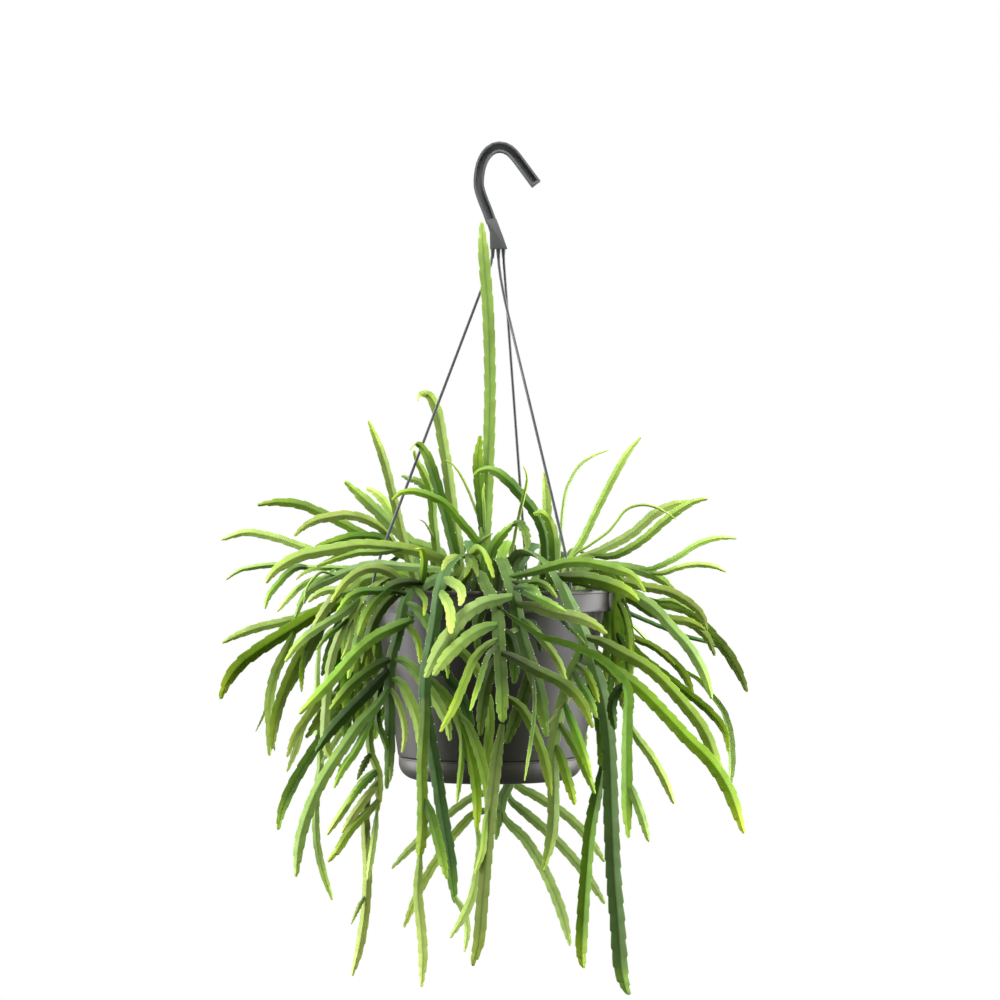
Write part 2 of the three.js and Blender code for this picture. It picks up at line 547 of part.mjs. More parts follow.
    side("pale", 4.6, 22, [459, 558], [452, 558], [446, 562], [442, 571]),
    side("pale", 5.6, 30, [443, 582], [452, 582], [460, 588], [462, 597], [460, 606]),
    side("pale", 5.8, 26, [440, 596], [446, 600], [450, 610], [451, 634])),
  shoot("shoot_front_short", "front", [-22, -50],
    stem("mid", 5.6, [472, 566, -58], [473, 555, -66], [478, 548, -74], [483, 551, -80],
      [489, 563, -86], [494, 578, -90]),
    side("pale", 4.4, 7, [474, 553], [472, 556], [475, 565], [478, 577]),
    side("mid", 4.6, 12, [472, 556], [468, 556], [469, 565], [464, 578])),
  shoot("shoot_front_left", "front", [-28, -38],
    stem("grey", 6.4, [452, 574, -44], [440, 577, -52], [426, 584, -59], [414, 588, -63],
      [406, 598, -66], [402, 612, -67], [398, 635, -67], [392, 657, -66], [389.5, 690, -64],
      [390, 720, -63], [390, 745, -62], [389, 765, -62], [386.5, 789, -62]),
    side("pale", 3.4, 3, [389.5, 758], [391, 770], [390, 782]),
    side("pale", 6.4, 12, [393, 654], [406, 662], [420, 678], [435, 699], [447, 722], [450, 741]),
    side("sage", 6.4, 10, [390.5, 673], [400, 682], [410, 700], [418, 722], [422, 748], [421, 765]),
    side("pale", 3.8, 9, [390, 686], [397, 700], [403, 718], [405, 736], [402, 753]),
    side("bright", 4.2, 7, [401, 620], [410, 628], [418, 642], [420, 664]),
    side("mid", 6, 14, [404, 602], [413, 606], [425, 619], [433, 636], [432, 655], [426, 678]),
    side("mid", 6.8, 10, [402, 615], [413, 618], [395, 627], [375, 637], [355, 654], [335, 677],
      [318, 695], [299, 714]),
    side("dark", 6.8, 4, [391, 661], [375, 667], [353, 684], [341, 697], [330, 710]),
    side("shade", 7.4, 1, [390.5, 670], [372, 688], [350, 710], [330, 732], [316, 752]),
    side("shade", 5, -6, [392, 657], [384, 670], [379, 690], [376, 714]),
    side("bright", 7, 10, [390, 684], [379, 703], [360, 724], [343, 748], [323, 779], [308, 812],
      [299.5, 843], [296, 877]),
    side("mid", 5, 5, [373, 709], [366, 730], [356, 750], [343, 769], [334, 788]),
    side("dark", 4.2, -5, [378, 704], [378, 722], [385, 740], [390.5, 760]),
    side("mid", 5, -5, [374, 708], [370, 728], [371, 752], [378, 772], [379, 795], [376.5, 816]),
    side("dark", 4.6, 3, [371, 752], [365, 763], [357, 780]),
    side("pale", 4.6, -4, [376, 767], [363, 781], [347, 805], [327, 835]),
    side("bright", 4.6, 6, [377.5, 770], [367, 781], [356.5, 793], [347.5, 805]),
    side("light", 5.2, 3, [379, 786], [370, 793], [357, 810], [342, 833]),
    side("mid", 5.2, 8, [379, 800], [372, 808], [351, 829.5], [337, 851], [328, 862]),
    side("light", 5.8, -6, [377, 779], [366.5, 800], [365.5, 830], [367.5, 872], [365, 913], [359, 950],
      [352, 976]),
    side("pale", 3, 3, [366, 893], [361, 903], [351, 924.5]),
    side("pale", 4, 3, [377, 812], [375, 830], [372, 852], [367.5, 880]),
    side("sage", 5.4, 4, [415, 588], [400, 580], [388, 571.5], [374, 568], [361, 571], [348, 580],
      [338, 592], [331, 603]),
    side("dark", 5, 9, [410, 592], [395, 591], [378, 591], [362, 591.5], [350, 597], [337, 612]),
    side("bright", 5, 30, [421, 586], [423, 574], [424, 558], [421, 549], [415, 549]),
    side("bright", 3.6, 22, [411, 591], [419, 592], [425, 600], [424, 616]),
    side("shade", 6.4, 4, [420, 586], [404, 589], [388, 601], [376, 618], [368, 640], [362, 664]),
    side("dark", 6.2, 12, [424, 584], [408, 582], [392, 586], [378, 598], [366, 616], [358, 636])),

  // Shoots behind the pot
  shoot("shoot_back_centre", "back", [8, 46],
    stem("grey", 6.4, [497, 578, 60], [501, 571, 72], [508, 580, 84], [513, 620, 88], [516, 680, 86],
      [515, 740, 82], [511, 780, 76], [503, 797, 72], [499, 818, 70], [496, 840, 68]),
    side("light", 6, 8, [512, 770], [516, 784], [536, 796], [564.5, 814], [585, 834], [605, 862]),
    side("light", 6.2, 2, [505, 790], [510, 799], [524.5, 812], [553, 837], [581, 868], [593, 885],
      [605, 904]),
    side("light", 6.6, -8, [499.5, 812], [506, 820], [524, 838], [544, 870], [560.5, 909], [570.5, 946]),
    side("light", 5, 10, [502, 796], [480, 794], [458, 807], [438, 823.5], [411, 848], [391.5, 868.5]),
    side("pale", 5.4, -4, [499, 814], [478, 812], [458, 830], [438, 858], [422, 885], [413, 905],
      [404, 927.5])),
];

// The photograph hides the back and the two sides, so the shoots there follow one habit:
// up from the soil, over the rim and down, with five side stems on the way.
const hiddenShoots = [
  { name: "shoot_back_1", degrees: 60, root: 53, rise: 12, reach: 7, fall: 80, tone: "mid", drift: -3 },
  { name: "shoot_back_2", degrees: 90, root: 56, rise: 10, reach: 7, fall: 100, tone: "dark", drift: 5 },
  { name: "shoot_back_3", degrees: 99, root: 56, rise: 11, reach: 8, fall: 92, tone: "grey", drift: -4 },
  { name: "shoot_back_4", degrees: 108, root: 54, rise: 13, reach: 9, fall: 84, tone: "mid", drift: 2 },
  { name: "shoot_back_5", degrees: 116, root: 55, rise: 12, reach: 8, fall: 98, tone: "dark", drift: 4 },
  { name: "shoot_back_6", degrees: 64, root: 37, rise: 25, reach: 18, fall: 104, tone: "grey", drift: -3 },
  { name: "shoot_back_7", degrees: 81, root: 34, rise: 27, reach: 21, fall: 88, tone: "mid", drift: -3 },
  { name: "shoot_back_8", degrees: 103, root: 36, rise: 27, reach: 24, fall: 112, tone: "grey", drift: 3 },
  { name: "shoot_back_9", degrees: 126, root: 50, rise: 20, reach: 16, fall: 96, tone: "dark", drift: 4 },
  { name: "shoot_side_1", degrees: 171, root: 60, rise: 9, reach: 12, fall: 96, tone: "dark", drift: 2 },
  { name: "shoot_side_2", degrees: 158, root: 60, rise: 9, reach: 9, fall: 84, tone: "mid", drift: -3 },
  { name: "shoot_side_3", degrees: 3, root: 60, rise: 9, reach: 5, fall: 72, tone: "dark", drift: 2 },
  { name: "shoot_side_4", degrees: -21, root: 59, rise: 9, reach: 4, fall: 62, tone: "mid", drift: 2 },
  { name: "shoot_side_5", degrees: 45, root: 50, rise: 20, reach: 16, fall: 92, tone: "grey", drift: 2 },
  { name: "shoot_side_6", degrees: -12, root: 60, rise: 8, reach: 4, fall: 66, tone: "mid", drift: 2 },
  { name: "shoot_side_7", degrees: 143, root: 50, rise: 20, reach: 18, fall: 90, tone: "grey", drift: 2 },
  { name: "shoot_side_8", degrees: 188, root: 60, rise: 6, reach: 5, fall: 88, tone: "mid", drift: 2 },
  { name: "shoot_side_9", degrees: 34, root: 52, rise: 22, reach: 17, fall: 84, tone: "dark", drift: 2 },
];
const hiddenWidth = 6.4;
const hiddenSideWidth = 5.4;
const hiddenSideShares = [0.1, 0.26, 0.42, 0.58, 0.74];
const hiddenSideTones = ["mid", "sage", "dark", "bright"];

function hiddenShoot({ name, degrees, root, rise, reach, fall, tone, drift }, index) {
  const at = (radius, height, turnedBy = 0) =>
    seenAt(new THREE.Vector3(...aroundPot(radius, degrees + turnedBy), rimTop + height));
  const away = Math.cos((degrees * Math.PI) / 180);
  const behind = Math.sin((degrees * Math.PI) / 180);
  const main = stem(
    tone,
    hiddenWidth,
    at(root + 4, rise * 0.5),
    at(rimRadius - 12, rise, drift * 0.3),
    at(rimRadius + 3, rise * 0.6, drift * 0.6),
    at(rimRadius + reach * 0.8, -0.3 * fall, drift),
    at(rimRadius + reach, -0.65 * fall, 1.5 * drift),
    at(rimRadius + reach * 0.9, -fall, 2 * drift),
  );
  const sides = hiddenSideShares.map((share, i) => {
    const [px, py] = at(rimRadius + reach, -share * fall, drift);
    const way = (i + index) % 2 ? 1 : -1;
    const long = 54 - 7 * i + 7 * ((index * 2 + i) % 3);
    const spread = way * 21 * behind + 7 * away;
    const out = (6 + 5 * ((i + index) % 3)) * behind + way * 17 * away;
    return side(
      hiddenSideTones[(index + i) % hiddenSideTones.length],
      hiddenSideWidth,
      out,
      [px, py],
      [px + 0.5 * spread, py + 0.22 * long],
      [px + 0.9 * spread, py + 0.62 * long],
      [px + spread, py + long],
    );
  });
  return shoot(name, "back", [root * away, root * behind], main, ...sides);
}

// Growth: how a stem's points become a curve with a facing, and how shoots are laid over each other.
const cadSamples = 32;
const layStep = 1.5;
const layMost = 45;
const layGap = 0.5;
const bendAllowed = 0.9;
const bendReach = 45;
const soilGap = 0.3;
const uprightStart = 7;
const mergedPixels = 6;
const outPower = 0.8;
const petioleLength = 9;
const rootLength = 26;
const mostOfLength = 0.4;
const tipPerWidth = 2.3;
const bluntTip = 3;
const shortTipPerWidth = 0.9;
const rootSize = 0.6;
const petioleSize = 0.4;
const tipSize = { pointed: 0.2, blunt: 0.55, short: 0.3 };
const thicknessPerWidth = 0.34;
const thinnest = 1.8;
const thinnestSize = 0.45;
const facingOut = 0.6;
const facingUp = 0.2;
const facingRadius = 60;
const facingPull = 0.16;

function placeOf(px, py, depth) {
  const scale = (mmPerPixel * (cameraDistance + depth)) / cameraDistance;
  return new THREE.Vector3(
    cameraSide + (px - pictureMiddle) * scale,
    depth,
    cameraLevel - (py - pictureMiddle) * scale,
  );
}

// The pixel place and depth of a point of the plant.
function seenAt(place) {
  const scale = (mmPerPixel * (cameraDistance + place.y)) / cameraDistance;
  return [
    pictureMiddle + (place.x - cameraSide) / scale,
    pictureMiddle - (place.z - cameraLevel) / scale,
    place.y,
  ];
}

// A main stem rises from its root, and the push moves all but its root toward its side.
function mainPlaces(plan, made, push) {
  const [rootX, rootY] = plan.root;
  const root = new THREE.Vector3(potCentre.x + rootX, potCentre.y + rootY, soilTop + soilGap);
  const places = made.points.map(([px, py, depth]) => {
    const near = Math.min(1, placeOf(px, py, depth).distanceTo(root) / bendReach);
    return placeOf(px, py, depth + push * near * near * (3 - 2 * near));
  });
  return [root, root.clone().add(new THREE.Vector3(0, 0, uprightStart)), ...places];
}

// A side stem starts at the nearest point of the stems grown so far.
function sidePlaces(made, grown, outward) {
  const [firstX, firstY] = made.points[0];
  let nearest = Infinity;
  let base = null;
  for (const place of grown.flatMap((stemGrown) => stemGrown.places)) {
    const [px, py] = seenAt(place);
    const apart = Math.hypot(px - firstX, py - firstY);
    if (apart < nearest) {
      nearest = apart;
      base = place;
    }
  }
  const traced = nearest < mergedPixels ? made.points.slice(1) : made.points;
  const lengths = [];
  let length = 0;
  let [lastX, lastY] = seenAt(base);
  for (const [px, py] of traced) {
    length += Math.hypot(px - lastX, py - lastY);
    lengths.push(length);
    [lastX, lastY] = [px, py];
  }
  const places = traced.map(([px, py], i) =>
    placeOf(px, py, base.y + outward * made.out * (lengths[i] / length) ** outPower),
  );
  return [base, ...places];
}

// Places, directions and widthways directions along a stem. The widthways direction is carried
// along it, and is drawn toward the one that turns the flat side outward.
function grow(points, made, outward, isMain) {
  const curve = new THREE.CatmullRomCurve3(points);
  const places = [];
  const along = [];
  for (let i = 0; i <= cadSamples; i++) {
    places.push(curve.getPointAt(i / cadSamples));
    along.push(curve.getTangentAt(i / cadSamples));
  }
  if (isMain) along[0].set(0, 0, 1);
  const radial = new THREE.Vector3(places[0].x - potCentre.x, places[0].y - potCentre.y, 0);
  radial.multiplyScalar(facingOut / Math.max(radial.length(), facingRadius));
  const facing = new THREE.Vector3(0, outward, facingUp).add(radial);
  let wide = new THREE.Vector3().crossVectors(along[0], facing).normalize();
  const widths = [];
  for (const direction of along) {
    const wished = new THREE.Vector3().crossVectors(direction, facing).multiplyScalar(facingPull);
    wide = wide.clone().add(wished.multiplyScalar(wished.dot(wide) < 0 ? -1 : 1));
    wide = wide.addScaledVector(direction, -wide.dot(direction)).normalize();
    widths.push(wide);
  }
  const turn = widths.map((vector, i) => {
    const angle = made.twist[0] + ((made.twist[1] - made.twist[0]) * i) / cadSamples;
    return vector.clone().applyAxisAngle(along[i], (angle * Math.PI) / 180);
  });
  return { places, along, wide: turn, length: curve.getLength(), made, isMain };
}

// Shares of the length where the bar has a ring: the fixed ones, and more where the stem bends.
function ringShares(places, fixed) {
  const shares = places.map((place, i) => i / cadSamples).concat(fixed).sort((a, b) => a - b);
  const rings = [0];
  let start = 0;
  for (let end = 1; end < shares.length; end++) {
    const chord = new THREE.Line3(placeAt(places, shares[start]), placeAt(places, shares[end]));
    const strays = shares.slice(start + 1, end).some((share) => {
      const place = placeAt(places, share);
      return chord.closestPointToPoint(place, true, new THREE.Vector3()).distanceTo(place) > bendAllowed;
    });
    if (strays) start = end - 1;
    if (strays && rings.at(-1) !== shares[start]) rings.push(shares[start]);
    if (fixed.includes(shares[end])) {
      rings.push(shares[end]);
      start = end;
    }
  }
  return [...rings, 1];
}

function placeAt(samples, share) {
  const sample = Math.min(cadSamples - 1e-6, share * cadSamples);
  const low = Math.floor(sample);
  return samples[low].clone().lerp(samples[low + 1], sample - low);
}

// A stem's solid: a four-sided bar bent along the stem, wide one way and thin the other.
function stemSolid({ places, along, wide, length, made, isMain }) {
  const tipWishes = {
    pointed: tipPerWidth * made.width,
    blunt: bluntTip,
    short: shortTipPerWidth * made.width,
  };
  const tipLength = Math.min(tipWishes[made.tip], mostOfLength * length);
  const bodyEnd = 1 - tipLength / length;
  const baseLength = Math.min(isMain ? rootLength : petioleLength, mostOfLength * length);
  const baseEnd = baseLength / length;
  const rings = ringShares(places, [baseEnd, bodyEnd]);
  const baseSize = isMain ? rootSize : petioleSize;
  const endSize = tipSize[made.tip];
  const bar = new THREE.CylinderGeometry(1, 1, 1, 4, rings.length - 1);
  const vertex = bar.attributes.position;
  for (let i = 0; i < vertex.count; i++) {
    const ring = Math.round((0.5 + vertex.getY(i)) * (rings.length - 1));
    const share = rings[ring];
    const place = placeAt(places, share);
    const direction = placeAt(along, share).normalize();
    const across = placeAt(wide, share).normalize();
    const through = new THREE.Vector3().crossVectors(across, direction).normalize();
    const size = Math.min(
      1,
      baseSize + ((1 - baseSize) * share) / baseEnd,
      endSize + ((1 - endSize) * (1 - share)) / (1 - bodyEnd),
    );
    const thickness = Math.max(thicknessPerWidth * made.width, thinnest) * Math.max(size, thinnestSize);
    place.addScaledVector(across, (vertex.getX(i) * made.width * size) / 2);
    place.addScaledVector(through, (vertex.getZ(i) * thickness) / 2);
    vertex.setXYZ(i, place.x, place.y, place.z);
  }
  return solidOf(bar);
}

function shootSolid(plan, push) {
  const outward = plan.laid === "front" ? -1 : 1;
  const grown = [];
  for (const made of plan.stems) {
    const points = made.isSide
      ? sidePlaces(made, grown, outward)
      : mainPlaces(plan, made, push * outward);
    grown.push(grow(points, made, outward, !made.isSide));
  }
  const solids = grown.map(stemSolid);
  return solids.slice(1).reduce((all, next) => all.add(next), solids[0]);
}

// Each shoot is laid over the pieces that are there already, by the least push that clears them.
function layShoot(plan, placed) {
  let solid = null;
  for (let push = 0; push <= layMost; push += layStep) {
    solid = shootSolid(plan, push);
    if (placed.every((other) => solid.minGap(other, layGap) >= layGap)) break;
  }
  placed.push(solid);
  return solid;
}

const object = new THREE.Group();
const holder = [
  ["pot", pot(), tones.plastic],
  ["drip_tray", dripTray(), tones.plastic],
  ["soil", soil(), tones.soil],
  ["hook", hook(), tones.hook],
  ...Object.keys(strandAngles).map((name) => [name, strand(name), tones.hook]),
];
for (const [name, solid, colour] of holder) object.add(named(name, solid, colour));
const placed = holder.filter(([name]) => name !== "soil").map(([, solid]) => solid);
for (const plan of [...shoots, ...hiddenShoots.map(hiddenShoot)]) {
  object.add(named(plan.name, layShoot(plan, placed), tones[plan.stems[0].tone]));
}

export default object;
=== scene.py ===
# A potted lepismium bolivianum in a hanging pot.
# The origin is the seat of the hook, +X is right, +Y is away.
import bisect
import math
import random

import bmesh
import bpy
from mathutils import Matrix, Quaternion, Vector, noise


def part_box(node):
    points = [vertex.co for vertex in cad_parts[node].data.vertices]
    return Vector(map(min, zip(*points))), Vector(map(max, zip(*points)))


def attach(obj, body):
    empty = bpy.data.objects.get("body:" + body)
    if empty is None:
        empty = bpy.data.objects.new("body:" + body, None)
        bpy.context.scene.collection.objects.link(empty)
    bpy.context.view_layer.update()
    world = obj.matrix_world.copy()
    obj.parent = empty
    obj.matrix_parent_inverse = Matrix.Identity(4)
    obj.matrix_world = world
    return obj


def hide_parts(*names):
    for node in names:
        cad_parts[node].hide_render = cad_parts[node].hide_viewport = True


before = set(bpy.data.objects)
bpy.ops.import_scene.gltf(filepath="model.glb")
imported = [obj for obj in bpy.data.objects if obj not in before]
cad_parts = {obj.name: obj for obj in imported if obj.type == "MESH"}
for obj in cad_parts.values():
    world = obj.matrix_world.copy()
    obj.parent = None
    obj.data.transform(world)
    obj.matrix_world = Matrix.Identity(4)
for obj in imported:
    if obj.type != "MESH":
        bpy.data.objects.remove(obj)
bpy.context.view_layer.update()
mm = 0.001


# Shared helpers
def colour(red, green, blue):
    # screen colour, 0 to 255, as the linear colour that a material takes
    parts = []
    for part in (red, green, blue):
        part = part / 255
        parts.append(part / 12.92 if part <= 0.04045 else ((part + 0.055) / 1.055) ** 2.4)
    return (*parts, 1.0)


def mixed(first, second, share):
    return tuple(a + (b - a) * share for a, b in zip(first, second))


def smoothStep(low, high, value):
    share = max(0.0, min(1.0, (value - low) / (high - low)))
    return share * share * (3 - 2 * share)


def rising(start, share):
    # start where share is 0, 1 where share is 1
    return start + (1 - start) * share


def lessened(full, share):
    # 1 where share is 0, full where share is 1
    return 1 - (1 - full) * share


def finished(name, bm, materials, sharpAngle=35):
    # shades the mesh smooth but for its sharp edges, and makes its object
    for face in bm.faces:
        face.smooth = True
    for edge in bm.edges:
        if len(edge.link_faces) == 2 and edge.calc_face_angle(0) > math.radians(sharpAngle):
            edge.smooth = False
    mesh = bpy.data.meshes.new(name)
    bm.to_mesh(mesh)
    bm.free()
    for material in materials:
        mesh.materials.append(material)
    piece = bpy.data.objects.new(name, mesh)
    bpy.context.scene.collection.objects.link(piece)
    return piece


def addBall(bm, place, turn, sizes):
    # a ball of few faces, stretched and turned, with its place and sizes in millimetres
    where = Matrix.Translation(place * mm) @ turn @ Matrix.Diagonal(sizes)
    return bmesh.ops.create_icosphere(bm, subdivisions=1, radius=mm, matrix=where)


def standsFor(piece, slot, *nodes):
    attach(piece, "root")
    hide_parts(*nodes)


# Materials
class Mask:
    # a number socket, with operators that add Math nodes
    def __init__(self, surface, socket):
        self.surface = surface
        self.socket = socket

    def __add__(self, other):
        return self.surface.maths("ADD", self, other)

    def __sub__(self, other):
        return self.surface.maths("SUBTRACT", self, other)

    def __mul__(self, other):
        return self.surface.maths("MULTIPLY", self, other)

    def __radd__(self, other):
        return self.surface.maths("ADD", other, self)

    def __rsub__(self, other):
        return self.surface.maths("SUBTRACT", other, self)

    def __rmul__(self, other):
        return self.surface.maths("MULTIPLY", other, self)

    def __abs__(self):
        return self.surface.maths("ABSOLUTE", self)

    def between(self, low, high):
        # 0 below low, 1 above high
        ends = {"Value": self, "From Min": low, "From Max": high}
        return self.surface.node("ShaderNodeMapRange", {"interpolation_type": "SMOOTHSTEP"}, ends)


class Surface:
    def __init__(self, name, **constants):
        self.material = bpy.data.materials.new(name)
        self.material.use_nodes = True
        self.tree = self.material.node_tree
        self.shader = self.tree.nodes["Principled BSDF"]
        for socket, value in constants.items():
            self.shader.inputs[socket.replace("_", " ")].default_value = value

    def node(self, kind, settings, inputs, output=0):
        made = self.tree.nodes.new(kind)
        for setting, value in settings.items():
            setattr(made, setting, value)
        for socket, value in inputs.items():
            if isinstance(value, Mask):
                self.tree.links.new(value.socket, made.inputs[socket])
            else:
                made.inputs[socket].default_value = value
        return Mask(self, made.outputs[output])

    def maths(self, operation, *values):
        return self.node("ShaderNodeMath", {"operation": operation}, dict(enumerate(values)))

    def attribute(self, name, output="Fac"):
        return self.node("ShaderNodeAttribute", {"attribute_name": name}, {}, output)

    def place(self, scale=(1, 1, 1)):
        position = self.node("ShaderNodeTexCoord", {}, {}, "Object")
        return self.node("ShaderNodeMapping", {}, {"Vector": position, "Scale": scale})

    def noise(self, place, scale, detail=2.0, roughness=0.5):
        inputs = {"Vector": place, "Scale": scale, "Detail": detail, "Roughness": roughness}
        return self.node("ShaderNodeTexNoise", {}, inputs)

    def blend(self, factor, first, second, way="MIX"):
        settings = {"data_type": "RGBA", "blend_type": way}
        return self.node("ShaderNodeMix", settings, {0: factor, 6: first, 7: second}, 2)

    def bump(self, height, strength, distance):
        inputs = {"Height": height, "Strength": strength, "Distance": distance}
        return self.node("ShaderNodeBump", {}, inputs)

    def feed(self, socket, value):
        self.tree.links.new(value.socket, self.shader.inputs[socket])


def stemSkin():
    look = {
        "cloudScale": 130,
        "cloudShade": 0.45,
        "cloudRoughness": 0.22,
        "cloudHeight": 1.5,
        "fineScale": 700,
        "fineShade": 0.12,
        "fineRoughness": 0.08,
        "fineHeight": 0.5,
        "midribWidth": 0.3,
        "midribShade": 0.14,
        "midribHeight": 0.8,
        "marginStart": 0.78,
        # painted highlight: each stem's margins are blended towards this pale yellow-green
        "marginHighlight": 0.08,
        "marginHighlightTone": colour(180, 196, 80),
        "roughness": 0.4,
        "grain": 0.05 * mm,
    }
    skin = Surface(
        "stemSkin",
        Specular_IOR_Level=0.18,
        Subsurface_Weight=0.08,
        Subsurface_Scale=0.7 * mm,
        Subsurface_Radius=(0.6, 1.0, 0.15),
    )
    place = skin.place()
    fromMiddle = abs(skin.attribute("across"))
    own = skin.attribute("stemColour", "Color")
    cloudy = skin.noise(place, look["cloudScale"], 3.0)
    fine = skin.noise(place, look["fineScale"], 3.0, 0.6)
    midrib = 1 - fromMiddle.between(0.0, look["midribWidth"])
    # painted highlight along each stem's thin margins
    margin = fromMiddle.between(look["marginStart"], 1.0)
    shade = 1 - look["cloudShade"] * (cloudy - 0.5) - look["midribShade"] * midrib
    shade = shade + look["fineShade"] * (fine - 0.5)
    grey = skin.node("ShaderNodeCombineColor", {}, {"Red": shade, "Green": shade, "Blue": shade})
    toned = skin.blend(1.0, own, grey, "MULTIPLY")
    skin.feed("Base Color", skin.blend(look["marginHighlight"] * margin, toned, look["marginHighlightTone"]))
    uneven = look["cloudRoughness"] * cloudy + look["fineRoughness"] * fine
    skin.feed("Roughness", look["roughness"] + uneven)
    height = look["fineHeight"] * fine + look["cloudHeight"] * cloudy
    height = height - look["midribHeight"] * midrib
    skin.feed("Normal", skin.bump(height, 0.4, look["grain"]))
    return skin.material


def areoleWool():
    look = {
        "hairScale": 2600,
        "hairStretch": (1, 1, 0.3),
        "hairHeight": 0.15 * mm,
        "deep": colour(226, 232, 208),
        "top": colour(250, 250, 240),
    }
    wool = Surface("areoleWool", Roughness=0.95, Sheen_Weight=0.3)
    hairs = wool.noise(wool.place(look["hairStretch"]), look["hairScale"], 2.0)
    wool.feed("Base Color", wool.blend(hairs, look["deep"], look["top"]))
    wool.feed("Normal", wool.bump(hairs, 0.6, look["hairHeight"]))
    return wool.material


def mouldedPlastic(name, tone, dust, roughness, grainScale, dusty):
    look = {
        "streakScale": 420,
        "streakStretch": (1, 1, 0.06),
        "scuffScale": 60,
        "scuffRange": (0.5, 0.68),
        "speckScale": 1500,
        "speckRange": (0.68, 0.76),
        "cloudShare": 0.03,
        "grain": 0.05 * mm,
    }
    tone, dust = colour(*tone), colour(*dust)
    plastic = Surface(name, Roughness=roughness, Specular_IOR_Level=0.26)
    place = plastic.place()
    grain = plastic.noise(place, grainScale, 3.0, 0.6)
    streaks = plastic.noise(plastic.place(look["streakStretch"]), look["streakScale"], 2.0)
    scuffs = plastic.noise(place, look["scuffScale"], 4.0, 0.65)
    dots = plastic.noise(place, look["speckScale"], 1.0).between(*look["speckRange"])
    specks = dusty * dots * scuffs.between(*look["scuffRange"])
    cloud = plastic.blend(0.5 * scuffs, tone, mixed(tone, dust, look["cloudShare"]))
    plastic.feed("Base Color", plastic.blend(specks, cloud, dust))
    smoothest = roughness - 0.05
    plastic.feed("Roughness", smoothest + 0.06 * streaks + 0.05 * scuffs + 0.4 * specks)
    plastic.feed("Normal", plastic.bump(grain + 0.6 * streaks, 0.35, look["grain"]))
    return plastic.material


def pottingMix():
    look = {
        "clodScale": 240,
        "clodDeep": colour(20, 14, 9),
        "clodTop": colour(66, 48, 32),
        "fibreScale": 1100,
        "fibreStretch": (1, 0.25, 0.6),
        "fibreRange": (0.62, 0.74),
        "fibreTone": colour(112, 84, 56),
        "relief": 0.6 * mm,
    }
    peat = Surface("pottingMix", Roughness=0.95)
    clods = peat.noise(peat.place(), look["clodScale"], 5.0, 0.7)
    fibres = peat.noise(peat.place(look["fibreStretch"]), look["fibreScale"], 3.0)
    dark = peat.blend(clods, look["clodDeep"], look["clodTop"])
    lying = fibres.between(*look["fibreRange"])
    peat.feed("Base Color", peat.blend(lying, dark, look["fibreTone"]))
    peat.feed("Normal", peat.bump(clods + 0.5 * fibres, 0.8, look["relief"]))
    return peat.material


plastics = {
    # tone, dust, roughness, scale of the grain, share of dust
    "pot": ((47, 45, 43), (150, 144, 138), 0.46, 900, 0.5),
    "tray": ((56, 54, 51), (166, 158, 148), 0.42, 900, 0.5),
    "hook": ((102, 104, 103), (160, 162, 158), 0.42, 1300, 0.2),
    "strand": ((72, 75, 74), (150, 152, 150), 0.38, 2200, 0.2),
}
finishes = {"stem": stemSkin(), "wool": areoleWool()}
for name, values in plastics.items():
    finishes[name] = mouldedPlastic(name + "Plastic", *values)
finishes["soil"] = pottingMix()
print("materials made")


# Pot and drip tray
pot = {
    "rimRadius": 75,
    "rimTop": -261.4,
    "rimBand": 13,
    "bandRecess": 0.35,
    "wallUnderRim": 69.9,
    "wallAtFoot": 55.4,
    "footLevel": -361.3,
    "wall": 1.3,
    "footRadius": 53.4,
    "footDepth": 3.2,
    "drainCircle": 34,
    "drainRadius": 3,
    "drainCount": 6,
    "strandCircle": 71.8,
    "strandHole": 1.25,
    "centre": Vector((-5, 0, 0)),
    "segments": 144,
}
strandAngles = {"strand_left": 194, "strand_right": -49, "strand_back": 72}


def aroundPot(radius, degrees, height):
    angle = math.radians(degrees)
    return pot["centre"] + Vector((radius * math.cos(angle), radius * math.sin(angle), height))


def roundCorner(radius, height, size, start, end, steps=5):
    points = []
    for i in range(steps + 1):
        angle = math.radians(start + (end - start) * i / max(1, steps))
        points.append((radius + size * math.cos(angle), height + size * math.sin(angle)))
    return points


def turned(outline, segments):
    # spins an outline of radius and height, in millimetres, about the pot's axis
    bm = bmesh.new()
    centre = pot["centre"] * mm
    verts = [
        bm.verts.new((centre.x + radius * mm, centre.y, height * mm))
        for radius, height in outline
    ]
    edges = [bm.edges.new(pair) for pair in zip(verts, verts[1:])]
    bmesh.ops.spin(
        bm,
        geom=verts + edges,
        cent=centre,
        axis=(0, 0, 1),
        angle=2 * math.pi,
        steps=segments,
        use_merge=True,
    )
    bmesh.ops.remove_doubles(bm, verts=bm.verts[:], dist=0.002 * mm)
    bmesh.ops.recalc_face_normals(bm, faces=bm.faces[:])
    return bm


def drilled(piece, holes):
    # cuts round holes of (place, radius, depth each way), in millimetres
    bm = bmesh.new()
    for place, radius, reach in holes:
        bmesh.ops.create_cone(
            bm,
            cap_ends=True,
            segments=28,
            radius1=radius * mm,
            radius2=radius * mm,
            depth=2 * reach * mm,
            matrix=Matrix.Translation(place * mm),
        )
    cutter = finished("cutter", bm, [])
    cut = piece.modifiers.new("holes", "BOOLEAN")
    cut.object = cutter
    cut.operation = "DIFFERENCE"
    cut.solver = "EXACT"
    shown = piece.evaluated_get(bpy.context.evaluated_depsgraph_get())
    mesh = bpy.data.meshes.new_from_object(shown)
    piece.modifiers.clear()
    piece.data = mesh
    bpy.data.objects.remove(cutter)


